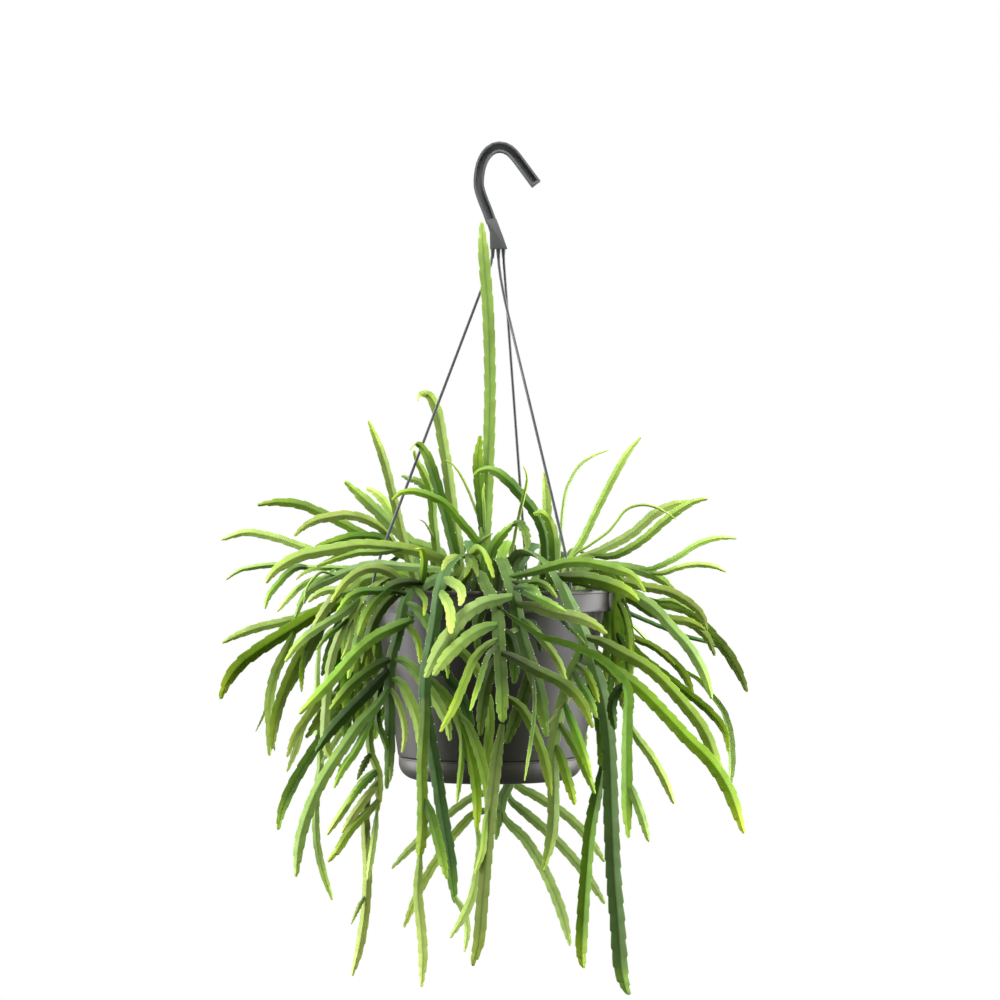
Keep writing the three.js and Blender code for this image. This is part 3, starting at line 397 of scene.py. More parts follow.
def makePot():
    wall = pot["wall"]
    rim, top, foot = pot["rimRadius"], pot["rimTop"], pot["footLevel"]
    inner, recess = rim - wall, rim - pot["bandRecess"]
    under = foot - pot["footDepth"]
    bandEnd = top - pot["rimBand"]
    outline = [
        (0, under),
        *roundCorner(pot["footRadius"] - 0.8, under + 0.8, 0.8, -90, 0, 3),
        (pot["footRadius"], foot),
        *roundCorner(pot["wallAtFoot"] - 0.6, foot + 0.6, 0.6, -90, -8, 3),
        (pot["wallUnderRim"] - 0.05, top - wall - 0.4),
        (pot["wallUnderRim"] + 0.35, top - wall),
        (inner - 0.3, top - wall),
        (inner, top - wall - 0.3),
        (inner, bandEnd + 0.3),
        *roundCorner(inner + 0.3, bandEnd + 0.3, 0.3, 180, 270, 2),
        *roundCorner(rim - 0.4, bandEnd + 0.4, 0.4, -90, 0, 3),
        (rim, bandEnd + 2.2),
        (recess, bandEnd + 2.7),
        (recess, top - 2.4),
        (rim, top - 2.0),
        *roundCorner(rim - 1.2, top - 1.2, 1.2, 0, 90),
        *roundCorner(pot["wallUnderRim"] - wall + 0.8, top - 0.8, 0.8, 90, 180, 4),
        (pot["footRadius"] - wall, under + 2 * wall + 1),
        (pot["footRadius"] - wall - 1, under + 2 * wall),
        (0, under + 2 * wall),
    ]
    piece = finished("potShell", turned(outline, pot["segments"]), [finishes["pot"]])
    step = 360 / pot["drainCount"]
    holes = [
        (aroundPot(pot["drainCircle"], i * step, under + wall), pot["drainRadius"], 3)
        for i in range(pot["drainCount"])
    ]
    holes += [
        (aroundPot(pot["strandCircle"], degrees, top - 1), pot["strandHole"], 2.5)
        for degrees in strandAngles.values()
    ]
    drilled(piece, holes)
    standsFor(piece, "pot_plastic", "pot")


tray = {
    "radius": 55,
    "bottom": -375.4,
    "corner": 10,
    "recess": 0.7,
    "recessEdge": (6, 4.6),
    "gap": 0.1,
    "bead": 0.1,
    "ribs": (-12, -20, -29),
    "ribDepth": 0.07,
}


def makeTray():
    corner, wall, bottom = tray["corner"], pot["wall"], tray["bottom"]
    radius, top = tray["radius"], pot["footLevel"] - tray["gap"]
    flat = radius - corner
    cornerLine = []
    for point in range(-90, -3, 2):
        ribs = max(smoothStep(2, 0, abs(point - rib)) for rib in tray["ribs"])
        size = corner - ribs * tray["ribDepth"]
        cornerLine += roundCorner(flat, bottom + corner, size, point, point, 0)
    outline = [
        (0, bottom + tray["recess"]),
        (flat - tray["recessEdge"][0], bottom + tray["recess"]),
        (flat - tray["recessEdge"][1], bottom),
        *cornerLine,
        (radius, top - 2.1),
        *roundCorner(radius - 0.5, top - 1.0, 0.5 + tray["bead"], -60, 80, 6),
        (radius - wall + 0.3, top),
        (radius - wall, top - 0.3),
        *roundCorner(flat, bottom + corner, corner - wall, 0, -90, 7),
        (0, bottom + wall + 0.4),
    ]
    piece = finished("dripTray", turned(outline, pot["segments"]), [finishes["tray"]])
    standsFor(piece, "pot_plastic", "drip_tray")


makePot()
makeTray()
print("pot and tray made")


# Soil
soil = {
    "top": -273.4,
    "topRadius": 65.6,
    "lowRadius": 51.4,
    "floor": -361.6,
    "rings": 30,
    "segments": 112,
    "relief": 1.5,
    "settled": 0.6,
    "moundScale": 130,
    "lumpScale": 420,
    "lumpShare": 0.55,
    "crumbs": 620,
    "crumbReach": 0.97,
    "crumbSize": (0.4, 1.5),
    "crumbLift": (-1.0, 0.5),
    "seed": 11,
    "sharpAngle": 60,
}


def makeSoil():
    rings, top = soil["rings"], soil["top"]
    outline = [(soil["topRadius"] * i / rings, top) for i in range(rings + 1)]
    outline += [(soil["lowRadius"], soil["floor"]), (0, soil["floor"])]
    bm = turned(outline, soil["segments"])
    for vert in bm.verts:
        if vert.co.z > (top - 1) * mm:
            lumps = soil["lumpShare"] * noise.noise(vert.co * soil["lumpScale"])
            height = noise.noise(vert.co * soil["moundScale"]) + lumps
            vert.co.z += (soil["relief"] * height - soil["settled"]) * mm
    rolls = random.Random(soil["seed"])
    for _ in range(soil["crumbs"]):
        radius = soil["topRadius"] * soil["crumbReach"] * math.sqrt(rolls.random())
        place = aroundPot(radius, rolls.uniform(0, 360), top + rolls.uniform(*soil["crumbLift"]))
        size = rolls.uniform(*soil["crumbSize"])
        axis = Vector((rolls.random(), rolls.random(), rolls.random()))
        turn = Quaternion(axis, rolls.uniform(0, 3)).to_matrix().to_4x4()
        sizes = (size, size * rolls.uniform(0.5, 0.9), size * rolls.uniform(0.4, 0.8), 1)
        addBall(bm, place, turn, sizes)
    piece = finished("pottingSoil", bm, [finishes["soil"]], soil["sharpAngle"])
    standsFor(piece, "soil", "soil")


makeSoil()
print("soil made")


# Hook and strands: copies of the frame's solids, merged, with the hook's edges rounded
hanger = {
    "merge": 0.005,
    "flatAngle": 1,
    "edgeAngle": 40,
    "edgeRound": 0.3,
    "edgeSegments": 2,
    "sharpAngle": 50,
}


def mergedCopy(name, node, material, edgeRound):
    bm = bmesh.new()
    bm.from_mesh(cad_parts[node].data)
    bmesh.ops.remove_doubles(bm, verts=bm.verts[:], dist=hanger["merge"] * mm)
    flat = math.radians(hanger["flatAngle"])
    bmesh.ops.dissolve_limit(bm, angle_limit=flat, verts=bm.verts[:], edges=bm.edges[:])
    if edgeRound:
        sharp = math.radians(hanger["edgeAngle"])
        edges = [e for e in bm.edges if len(e.link_faces) == 2 and e.calc_face_angle(0) > sharp]
        bmesh.ops.bevel(
            bm,
            geom=edges,
            offset=edgeRound * mm,
            affect="EDGES",
            segments=hanger["edgeSegments"],
            profile=0.5,
            material=-1,
            clamp_overlap=True,
        )
    piece = finished(name, bm, [material], hanger["sharpAngle"])
    standsFor(piece, "hook_plastic", node)


mergedCopy("hangerHook", "hook", finishes["hook"], hanger["edgeRound"])
for node in strandAngles:
    mergedCopy(node.replace("strand", "hangerStrand"), node, finishes["strand"], 0)
print("hook and strands made")


# Stems. Points are (pixel x, pixel y, depth in mm); a side stem takes its depth from its base.
def stem(tone, width, *points):
    made = {"tone": tone, "width": width, "points": points, "out": 0, "isSide": False}
    return {**made, "tip": "pointed", "twist": (0, 0)}


def side(tone, width, out, *points):
    return {**stem(tone, width, *points), "out": out, "isSide": True}


def blunt(made):
    return {**made, "tip": "blunt"}


def shortTipped(made):
    return {**made, "tip": "short"}


def twisted(atBase, atTip, made):
    return {**made, "twist": (atBase, atTip)}


def shoot(name, laid, root, *stems):
    return {"name": name, "laid": laid, "root": root, "stems": stems}


shoots = [
    # Upright shoots over the middle of the pot, from the back to the front
    shoot("shoot_upright_pale", "back", [-22, 20],
        stem("sage", 6.6, [459, 556, 16], [456, 530, 14], [452, 505, 12], [449, 482, 10],
            [446, 460, 8], [442, 437, 7], [438, 415, 6], [433, 401, 5], [427, 394, 4],
            [419, 395, 1], [418, 401, 0])),
    shoot("shoot_upright_left", "back", [-36, 12],
        stem("mid", 5.4, [436, 550, 9], [433, 520, 8], [432, 500, 7], [429, 485, 6], [423, 472, 5],
            [417, 461, 4], [414, 450, 3]),
        side("pale", 5.2, 3, [433, 500], [427, 489], [419, 482], [409, 478.5], [401, 475.6]),
        side("pale", 1.6, -6, [434, 540], [429, 529], [424, 522], [419, 519.5])),
    shoot("shoot_tall", "front", [-4, -3],
        stem("pale", 7, [484, 560, -4], [485, 535, -6], [487, 500, -7], [489, 440, -7],
            [490, 380, -6], [488, 310, -6], [485, 270, -6], [483, 245, -6], [481.5, 222, -5]),
        side("bright", 6.6, 5, [485, 545], [482, 510], [479, 480], [478, 458], [480.5, 435]),
        side("mid", 1.8, 12, [487, 535], [484, 505], [483, 493], [484.5, 483]),
        side("pale", 1.6, 2, [481, 535], [475, 508], [468, 490], [460, 474], [452, 464],
            [445, 460])),
    shoot("shoot_hooked", "front", [-24, -8],
        stem("dark", 6.4, [455, 556, -10], [450, 532, -11], [445, 512, -12], [439.5, 493, -13],
            [434, 475, -13], [428.5, 459, -13], [422, 447.5, -13], [416, 443.5, -14],
            [410, 450, -15])),
    shoot("shoot_high_arch", "front", [-10, -22],
        stem("bright", 5, [482, 552, -22], [475, 539, -23], [460, 521, -24], [445, 504, -24],
            [430, 496, -24], [415, 491.5, -23], [401, 493, -23], [392, 500, -24]),
        side("bright", 3, 12, [478, 544], [484, 539], [493, 533])),
    shoot("shoot_left_high", "back", [-43, 16],
        stem("sage", 5.4, [408, 556, 16], [402, 534, 15], [397, 512, 13], [392, 492, 11],
            [387, 472, 10], [381, 452, 9], [374, 434, 8], [368.5, 420.5, 8])),
    shoot("shoot_left_grey", "back", [-28, 30],
        stem("sage", 7.2, [440, 554, 25], [425, 547, 24], [412, 543, 23], [400, 533, 22],
            [388, 522, 21], [376, 510, 20], [364, 499, 19], [353, 489, 18], [344.5, 481, 17]),
        side("pale", 5.4, 14, [402, 535], [395, 520], [389, 509], [382, 499], [374, 492],
            [366, 488])),
    shoot("shoot_centre_arch", "front", [31, -22],
        stem("dark", 6.6, [546, 562, -24], [545, 538, -25], [541, 524, -26], [535, 513, -26],
            [521, 495, -27], [506, 479, -27], [492, 470, -26], [481, 470.5, -26],
            [473.5, 476, -26])),
    shoot("shoot_thin", "front", [13, -20],
        twisted(60, 20, stem("sage", 2.6, [511, 560, -20], [515, 535, -22], [519, 516, -27],
            [524, 495, -33], [527, 480, -35], [526, 472, -36], [523, 466, -36]))),
    shoot("shoot_short_arch", "front", [0, -24],
        stem("dark", 6.4, [490, 560, -26], [494, 546, -28], [505, 532, -30], [514, 523, -33]),
        side("pale", 5.6, 7, [513, 524], [519, 523], [525, 531], [527.5, 542], [525.5, 553])),
    shoot("shoot_short_hooked", "front", [30, -40],
        stem("dark", 6.6, [553, 572, -40], [554, 548, -41], [552, 530, -42], [547, 518, -43],
            [541, 513, -45], [533, 514, -47])),
    shoot("shoot_right_serrated", "back", [30, 12],
        stem("sage", 6, [544, 556, 13], [545, 530, 13], [547, 508, 13], [546, 490, 13],
            [544, 472, 13])),
    shoot("shoot_right_thin_tall", "back", [38, 2],
        twisted(50, 20, stem("sage", 2, [559, 556, 3], [561, 530, 4], [564, 500, 6], [568, 485, 8],
            [580, 465, 10], [595, 455, 12], [609, 450, 13]))),
    shoot("shoot_right_pale", "back", [42, 22],
        stem("pale", 4.6, [569, 562, 23], [582, 541, 26], [596, 512, 29], [607, 490, 31],
            [617, 471, 33], [629, 451, 36], [641, 437, 38])),
    shoot("shoot_right_thin_arch", "back", [46, 10],
        stem("pale", 1.7, [572, 558, 10], [590, 545, 11], [609, 531, 12], [617, 521, 13],
            [626, 510, 14], [640, 505, 15], [655, 507, 16], [667, 513, 16], [677, 520, 17])),
    shoot("shoot_right_high", "back", [52, 20],
        stem("sage", 5.8, [575, 562, 32], [600, 551, 36], [631, 534, 41], [656, 513, 45],
            [674, 504.5, 48], [693, 501, 50]),
        side("pale", 5.2, -10, [590, 556], [612, 556], [629.5, 548.5], [647, 536.5], [662, 523],
            [679, 510], [694.5, 501.5], [708, 498.5])),

    # Shoots that arch to the left
    shoot("shoot_left_back", "back", [-46, 30],
        stem("mid", 5.8, [412, 562, 30], [396, 551, 30], [378, 541, 30], [358, 532, 30],
            [340, 522, 31], [320, 512.5, 32], [300, 504.5, 33], [278, 502.2, 34], [257, 505, 35]),
        side("light", 5.8, -12, [398, 552], [385, 531], [365, 519], [345, 515], [330, 517],
            [318, 519.5], [305, 526], [294, 536]),
        side("light", 5, 8, [376, 541], [345, 550], [318, 551.5], [300, 546], [280, 539],
            [260, 534], [245, 532.5], [221, 540]),
        side("mid", 5.6, -14, [400, 554], [380, 538], [365, 536], [350, 537], [335, 541],
            [315, 546.5])),
    shoot("shoot_left_long", "front", [-32, -18],
        stem("pale", 7, [455, 568, -18], [435, 557, -20], [418, 551.5, -21], [400, 548, -22],
            [380, 546, -23], [360, 545, -24], [340, 548, -26], [320, 551.5, -28], [300, 556, -30],
            [277, 569, -32], [265.5, 583, -33]),
        side("mid", 4.4, 6, [402, 550], [380, 552], [360, 552.5], [345, 556], [330, 561],
            [316.5, 566.5])),
    shoot("shoot_left_thin", "front", [-48, -6],
        stem("pale", 3.4, [402, 578, -6], [370, 570, -7], [340, 568, -9], [310, 567.5, -10],
            [275, 565, -12], [255, 567, -13], [240, 570.5, -14], [226, 579.5, -14]),
        side("mid", 4.6, 10, [312, 568], [298, 567], [288, 573], [279, 583], [270, 594], [266, 604],
            [265, 609]),
        side("pale", 3.6, 16, [324, 569], [312, 569.5], [303, 573.5], [296, 580]),
        side("pale", 4, 20, [338, 570], [325, 577], [312, 580], [300, 587], [290, 597],
            [277, 612])),
    shoot("shoot_left_arch", "front", [-40, -26],
        stem("sage", 5.8, [444, 572, -28], [425, 568.5, -32], [400, 566.5, -36], [375, 564.5, -39],
            [355, 569, -41], [335, 577, -43], [320, 584, -44], [308, 592, -45], [301, 603, -46],
            [295, 618, -47]),
        side("pale", 1.7, 5, [335, 576], [322, 572], [313, 579], [307, 588], [303.5, 604]),
        side("pale", 5, 14, [366, 567], [350, 587], [338, 589.5], [325, 591], [315, 596],
            [308, 602])),
    shoot("shoot_left_wide", "back", [-40, 36],
        stem("bright", 8.4, [404, 576, 38], [385, 582, 40], [366, 592, 41], [340, 602, 42],
            [315, 614, 43], [296, 626, 44], [278, 637, 45], [258, 650, 46], [240, 664, 47],
            [228, 680, 48], [220, 699, 48]),
        side("light", 5.6, 8, [335, 605], [320, 609], [300, 617], [280, 622.5], [260, 627],
            [240, 634], [222, 643]),
        side("light", 6.4, 10, [296, 626], [286, 650], [275, 673], [269.5, 700], [270, 724],
            [269.5, 756]),
        side("mid", 7.2, -9, [325, 612], [312, 635], [296, 663], [282, 696], [275.5, 719],
            [272, 749]),
        side("bright", 3.8, -6, [306, 648], [302, 668], [301.5, 692]),
        side("pale", 2, 8, [268, 695], [264, 714], [255.5, 732]),
        side("bright", 3, 4, [270, 725], [272, 738], [275, 751]),
        side("sage", 7, 4, [330, 608], [320, 630], [307, 655], [292, 680], [282, 702]),
        side("shade", 6, -5, [352, 598], [340, 622], [330, 650], [322, 676])),
    shoot("shoot_left_under", "back", [-32, 46],
        stem("dark", 6.8, [412, 578, 52], [394, 583, 58], [378, 606, 60], [362, 642, 58],
            [350, 688, 55], [335, 712, 54], [321, 738, 53], [304.5, 764, 52], [292.5, 785, 52],
            [282, 810, 52], [278, 830, 52]),
        side("pale", 5.6, -6, [352, 680], [338, 676], [324, 690], [308, 716], [295, 736],
            [287, 757]),
        side("light", 4.6, 8, [345, 697], [332, 694], [322, 701], [304, 724], [296, 749],
            [287, 772]),
        twisted(75, 10, side("sage", 4.8, 14, [364, 632], [340, 625], [322, 640], [318, 665],
            [318, 734], [320.5, 760], [316, 800], [317, 843], [324, 875], [332.5, 900])),
        side("pale", 4, -8, [348, 694], [350, 716], [336, 740], [321, 764]),
        side("dark", 7, 4, [362, 642], [352, 668], [338, 694], [322, 716], [306, 738]),
        side("dark", 6.4, -5, [380, 604], [380, 632], [379, 664], [376, 694], [369, 722])),
    shoot("shoot_left_grey_fall", "front", [-53, -22],
        stem("sage", 6.4, [390, 579, -32], [376, 584, -37], [362, 598, -40], [348, 619, -41],
            [338, 640, -42], [331.5, 660, -42], [328, 685, -43], [326, 709, -43], [325, 734, -44],
            [328, 752, -44], [341, 767, -45]),
        side("sage", 5.6, 12, [366, 599], [345, 612], [325, 624], [307, 636], [295, 648],
            [285, 662]),
        side("sage", 6.4, -8, [362, 601], [340, 592], [330, 603], [321, 616], [312, 630]),
        side("dark", 5.8, 26, [376, 592], [369, 603], [363, 617], [359, 633], [355, 652],
            [348, 679]),
        side("sage", 3.8, 6, [353, 612], [351.5, 630], [348, 646], [341, 660]),
        side("mid", 3.4, 5, [350, 616], [340, 626], [326, 638], [316, 650])),

    # Shoots that arch to the right
    shoot("shoot_right_back", "back", [36, 46],
        stem("sage", 6.4, [565, 572, 42], [590, 566, 47], [620, 567, 52], [645, 572, 56],
            [662, 580, 58], [677, 594, 60]),
        side("pale", 3.8, 10, [628, 568], [649, 569.4], [676, 558], [697, 544.5], [718, 538],
            [737, 538.4]),
        side("light", 3.6, -8, [650, 574], [663, 573], [676, 568.4], [695, 564.6], [714, 566.5],
            [726.5, 572])),
    shoot("shoot_right_wide", "back", [52, -8],
        stem("pale", 7.4, [588, 580, -8], [608, 581, -7], [624, 588, -7], [642, 598, -6],
            [665, 605, -4], [690, 612, -2], [709, 631, 0], [725.5, 650, 2], [735.5, 666, 3],
            [742.5, 680, 4], [747, 692, 4]),
        side("light", 6, -8, [602, 583], [622, 581], [641, 586], [670, 592], [691, 604],
            [702.5, 616], [707, 630]),
        side("light", 3.8, -12, [655, 602], [672, 601], [685, 607], [695, 613]),
        side("light", 5.8, 8, [640, 600], [662, 616], [690, 623], [706, 636], [715, 656]),
        side("pale", 6, 3, [622, 587], [636, 602], [652, 613], [670, 619], [690, 622], [706, 630])),
    shoot("shoot_right_grey", "front", [43, -32],
        stem("sage", 6.6, [570, 584, -38], [600, 586, -44], [622, 590, -48], [638, 597, -51],
            [655, 609, -54], [670, 626, -56], [690, 649, -58], [704, 674, -59], [712, 699, -60])),
    shoot("shoot_right_under", "back", [46, 34],
        stem("grey", 2.8, [586, 574, 35], [598, 576, 37], [608, 583, 38], [616, 596, 39],
            [627, 611, 39], [645, 620, 40], [668, 629.5, 41], [688, 637, 42], [707, 642, 43],
            [728, 652.5, 44]),
        twisted(75, 10, side("light", 6, 12, [618, 602], [627, 619], [640, 633], [660, 653],
            [680, 668], [700, 681], [712, 695], [723.5, 711], [730, 732], [732, 764], [730, 787])),
        side("mid", 5.4, -6, [655, 648], [668, 657], [681, 670], [689, 684], [693, 695]),
        side("bright", 5.6, -12, [620, 605], [623, 626], [631, 645], [645, 660], [665, 675],
            [690, 695], [710, 712], [724, 730], [728.5, 752]),
        side("mid", 4.6, -10, [622, 618], [632, 636], [654, 647], [675, 665]),
        side("dark", 7, 6, [598, 576], [607, 600], [609, 622], [606, 648]),
        side("dark", 6, 9, [608, 583], [628, 598], [644, 606], [660, 612])),

    # Shoots that fall in front of the pot
    shoot("shoot_front_long", "front", [14, -36],
        shortTipped(stem("grey", 9, [512, 566, -38], [521, 553, -45], [535, 555, -52],
            [548, 565, -60], [559, 581, -68], [568, 600, -71], [576, 617, -74], [589, 652, -78],
            [601.5, 695, -80], [608, 737, -80], [611, 811, -78], [613.5, 872, -76],
            [617.5, 923, -74], [621.5, 972, -73], [628, 997, -73])),
        side("dark", 7.6, 8, [558, 578], [566, 577], [584, 577.5], [607, 583], [626, 591],
            [639, 601]),
        blunt(side("dark", 6, -12, [588, 650], [593, 690], [599, 720], [602, 745], [602.5, 772])),
        shortTipped(side("bright", 7.4, 2, [602.5, 764], [599.5, 782], [595, 802], [590, 830],
            [586, 872], [583, 913], [581.5, 954], [583, 970])),
        side("sage", 7, 8, [586, 645], [578, 657], [568, 684], [559, 716], [553.5, 747],
            [553.5, 789], [552.5, 828], [547, 856], [542, 871]),
        side("bright", 5, 8, [577, 660], [584, 670], [593, 686], [599, 703]),
        side("dark", 4.8, 14, [573, 671], [580, 683], [589, 698], [597, 718]),
        side("sage", 2.4, 8, [565, 694], [566, 699], [557, 712], [547, 725]),
        side("bright", 5.2, 10, [563, 701], [567, 710], [577, 735], [585, 758], [591, 777]),
        side("mid", 5, 5, [558, 718], [567, 735], [577, 752], [587, 774], [595, 794]),
        side("bright", 5.8, 6, [555, 742], [560.5, 756], [567.5, 779], [575, 805]),
        side("mid", 7.2, 14, [583, 634], [600, 641], [618, 650.5], [650, 669], [681.5, 701],
            [704.5, 732], [717, 765], [727, 789]),
        side("bright", 7.8, 22, [591, 655], [603, 664], [635, 685], [660, 709], [687, 738],
            [710, 761], [728, 789], [744, 833.5])),
    shoot("shoot_front_right", "front", [4, -48],
        stem("grey", 7.6, [500, 560, -52], [503, 563, -62], [509, 579, -80], [514, 595, -88],
            [517, 612, -87], [520, 630, -84], [526, 650, -83], [533, 672, -84], [540, 695, -85],
            [547, 737, -87]),
        side("mid", 5.6, 26, [512, 577], [530, 572.5], [548, 567.5], [565, 563], [582, 562],
            [600, 565], [618, 570], [634, 577], [645, 592]),
        side("dark", 3.8, 14, [514, 584], [525, 583], [538, 582], [548, 587], [557, 598]),
        side("dark", 4.4, 20, [515, 589], [526, 587], [536, 590], [541, 598]),
        side("mid", 5, 14, [516, 590], [530, 594], [545, 601], [566, 612]),
        side("sage", 6.6, 20, [517, 601], [535, 607], [551, 612.5], [576, 617], [595, 625],
            [607, 634]),
        side("dark", 2.4, 5, [556, 613.5], [568, 627], [579, 637], [586, 644]),
        side("sage", 4.8, 8, [518, 617], [526, 622], [540, 637], [552, 652], [561, 668],
            [567, 685]),
        side("light", 8, 20, [514, 594], [500, 599], [484, 603], [466, 614], [455, 627], [445, 640],
            [436, 655], [425, 678]),
        side("sage", 3.6, 8, [519, 626], [513, 631], [506, 640]),
        side("shade", 7.6, -8, [529, 648], [532, 664], [528, 684], [520, 706], [512, 728],
            [506, 744]),
        side("shade", 6, -5, [522, 618], [531, 624], [538, 634], [541, 652]),
        side("mid", 4.4, 2, [534, 690], [538, 706], [542, 721], [546, 737])),
    shoot("shoot_front_middle", "front", [-9, -53],
        blunt(stem("grey", 7.2, [480, 572, -58], [484, 582, -69], [490, 593, -79], [496, 605, -84],
            [498.5, 620, -88], [499, 640, -92], [500.5, 663, -94], [502, 690, -95],
            [502, 724, -96])),
        shortTipped(side("sage", 7, 6, [502, 721], [500.5, 735], [497, 755], [493, 790], [491, 808],
            [487, 850], [482, 905], [478, 945], [471, 967])),
        side("pale", 3.8, 3, [492, 800], [486, 822], [483, 850], [475, 874]),
        side("shade", 6.4, -3, [494, 600], [486, 604], [480, 614], [477, 630], [477, 650]),
        side("shade", 6.4, -8, [499, 630], [508, 634], [513, 646], [515, 664], [514, 684]),
        side("shade", 6.4, -8, [501, 655], [492, 668], [486, 688], [482, 712], [480, 736]),
        side("mid", 5.6, -4, [503, 695], [512, 700], [523, 710], [536, 736], [545, 762],
            [551, 796]),
        side("pale", 7.2, 16, [499, 622], [487, 627], [474, 633], [460, 644], [447, 657],
            [433, 676]),
        side("mid", 4.8, 22, [499, 637], [487, 645], [474, 659], [466, 678], [454, 707],
            [440, 732]),
        side("dark", 3.2, 28, [499, 645], [490, 652], [480, 680], [470, 711]),
        side("dark", 6.6, 18, [500, 650], [510, 656], [534, 669], [563.5, 684], [580.5, 701],
            [593, 728]),
        side("dark", 2.2, 9, [530, 667], [534, 684], [534, 718], [530, 747], [524.5, 781]),
        twisted(78, 4, side("mid", 6.6, 26, [499, 607], [510, 616], [522, 624], [540, 636],
            [562, 642], [580, 648.5], [600, 658], [617, 673], [628, 690], [628, 712], [627, 745],
            [627, 779], [627, 811], [628.5, 838])),
        side("pale", 5, 5, [628, 782], [633, 793], [641, 815], [649, 842]),
        side("pale", 5.2, -10, [627, 722], [636, 736], [652, 758], [665, 781.5], [674, 804]),
        side("shade", 5.8, -14, [624, 682], [618, 690], [612, 705], [615, 730])),
    shoot("shoot_front_left_long", "front", [-14, -38],
        stem("grey", 7.2, [476, 571, -39], [470, 557, -42], [459, 557, -50], [449, 566, -63],
            [442, 580, -77], [438, 597, -82], [436, 615, -83], [432, 640, -83], [427, 665, -82],
            [425, 700, -82], [430, 735, -82], [436, 770, -82], [442, 811, -80], [449, 852, -78],
            [455, 903, -76]),
        side("light", 3.6, 5, [454, 897], [460, 905], [466, 918], [467.5, 932], [464.5, 952]),
        blunt(side("mid", 6.4, 8, [426, 690], [425, 715], [422, 765], [422.5, 800], [422, 835],
            [419.5, 858])),
        side("light", 5.8, 2, [419.5, 854], [419, 870], [418, 895], [421, 925], [423, 955],
            [421.5, 987]),
        side("mid", 5.8, 6, [422.5, 795], [430, 812], [438, 840], [447, 879]),
        side("bright", 6, 8, [427, 674], [441, 690], [454, 709], [463, 731], [471, 758],
            [476.5, 791], [477, 833]),
        side("mid", 5.6, 10, [455, 711], [466, 722], [477, 747], [486, 779], [490, 810],
            [489.5, 841]),
        side("light", 5, 3, [476, 826], [480, 845], [478, 870], [471, 900], [462, 919], [450, 938]),
        side("shade", 6.2, -5, [429, 652], [445, 672], [461, 696], [469, 721], [470, 748]),
        side("shade", 6.4, -4, [437, 606], [446, 608], [455, 616], [459, 632], [460, 650]),
        side("mid", 3.4, 4, [454, 709], [461, 730], [462, 755], [459.5, 782], [457, 803]),
        side("mid", 5.4, 4, [434, 628], [448, 640], [461, 651], [474, 665], [483, 682],
            [488.5, 702], [490, 722], [487, 752], [482, 775], [475.5, 794]),
        side("mid", 4, 6, [433, 636], [444, 655], [447, 667], [448, 679]),
        side("pale", 4.6, 22, [459, 558], [452, 558], [446, 562], [442, 571]),
        side("pale", 5.6, 30, [443, 582], [452, 582], [460, 588], [462, 597], [460, 606]),
        side("pale", 5.8, 26, [440, 596], [446, 600], [450, 610], [451, 634])),
    shoot("shoot_front_short", "front", [-22, -50],
        stem("mid", 5.6, [472, 566, -58], [473, 555, -66], [478, 548, -74], [483, 551, -80],
            [489, 563, -86], [494, 578, -90]),
        side("pale", 4.4, 7, [474, 553], [472, 556], [475, 565], [478, 577]),
        side("mid", 4.6, 12, [472, 556], [468, 556], [469, 565], [464, 578])),
    shoot("shoot_front_left", "front", [-28, -38],
        stem("grey", 6.4, [452, 574, -44], [440, 577, -52], [426, 584, -59], [414, 588, -63],
            [406, 598, -66], [402, 612, -67], [398, 635, -67], [392, 657, -66], [389.5, 690, -64],
            [390, 720, -63], [390, 745, -62], [389, 765, -62], [386.5, 789, -62]),
        side("pale", 3.4, 3, [389.5, 758], [391, 770], [390, 782]),
        side("pale", 6.4, 12, [393, 654], [406, 662], [420, 678], [435, 699], [447, 722],
            [450, 741]),
        side("pale", 6.4, 10, [390.5, 673], [400, 682], [410, 700], [418, 722], [422, 748],
            [421, 765]),
        side("pale", 3.8, 9, [390, 686], [397, 700], [403, 718], [405, 736], [402, 753]),
        side("bright", 4.2, 7, [401, 620], [410, 628], [418, 642], [420, 664]),
        side("mid", 6, 14, [404, 602], [413, 606], [425, 619], [433, 636], [432, 655], [426, 678]),
        side("mid", 6.8, 10, [402, 615], [413, 618], [395, 627], [375, 637], [355, 654], [335, 677],
            [318, 695], [299, 714]),
        side("dark", 6.8, 4, [391, 661], [375, 667], [353, 684], [341, 697], [330, 710]),
        side("shade", 7.4, 1, [390.5, 670], [372, 688], [350, 710], [330, 732], [316, 752]),
        side("shade", 5, -6, [392, 657], [384, 670], [379, 690], [376, 714]),
        side("pale", 7, 10, [390, 684], [379, 703], [360, 724], [343, 748], [323, 779], [308, 812],
            [299.5, 843], [296, 877]),
        side("mid", 5, 5, [373, 709], [366, 730], [356, 750], [343, 769], [334, 788]),
        side("dark", 4.2, -5, [378, 704], [378, 722], [385, 740], [390.5, 760]),
        side("pale", 5, -5, [374, 708], [370, 728], [371, 752], [378, 772], [379, 795],
            [376.5, 816]),
        side("dark", 4.6, 3, [371, 752], [365, 763], [357, 780]),
        side("pale", 4.6, -4, [376, 767], [363, 781], [347, 805], [327, 835]),
        side("bright", 4.6, 6, [377.5, 770], [367, 781], [356.5, 793], [347.5, 805]),
        side("light", 5.2, 3, [379, 786], [370, 793], [357, 810], [342, 833]),
        side("mid", 5.2, 8, [379, 800], [372, 808], [351, 829.5], [337, 851], [328, 862]),
        side("light", 5.8, -6, [377, 779], [366.5, 800], [365.5, 830], [367.5, 872], [365, 913],
            [359, 950], [352, 976]),
        side("pale", 3, 3, [366, 893], [361, 903], [351, 924.5]),
        side("light", 4, 3, [377, 812], [375, 830], [372, 852], [367.5, 880]),
        side("sage", 5.4, 4, [415, 588], [400, 580], [388, 571.5], [374, 568], [361, 571],
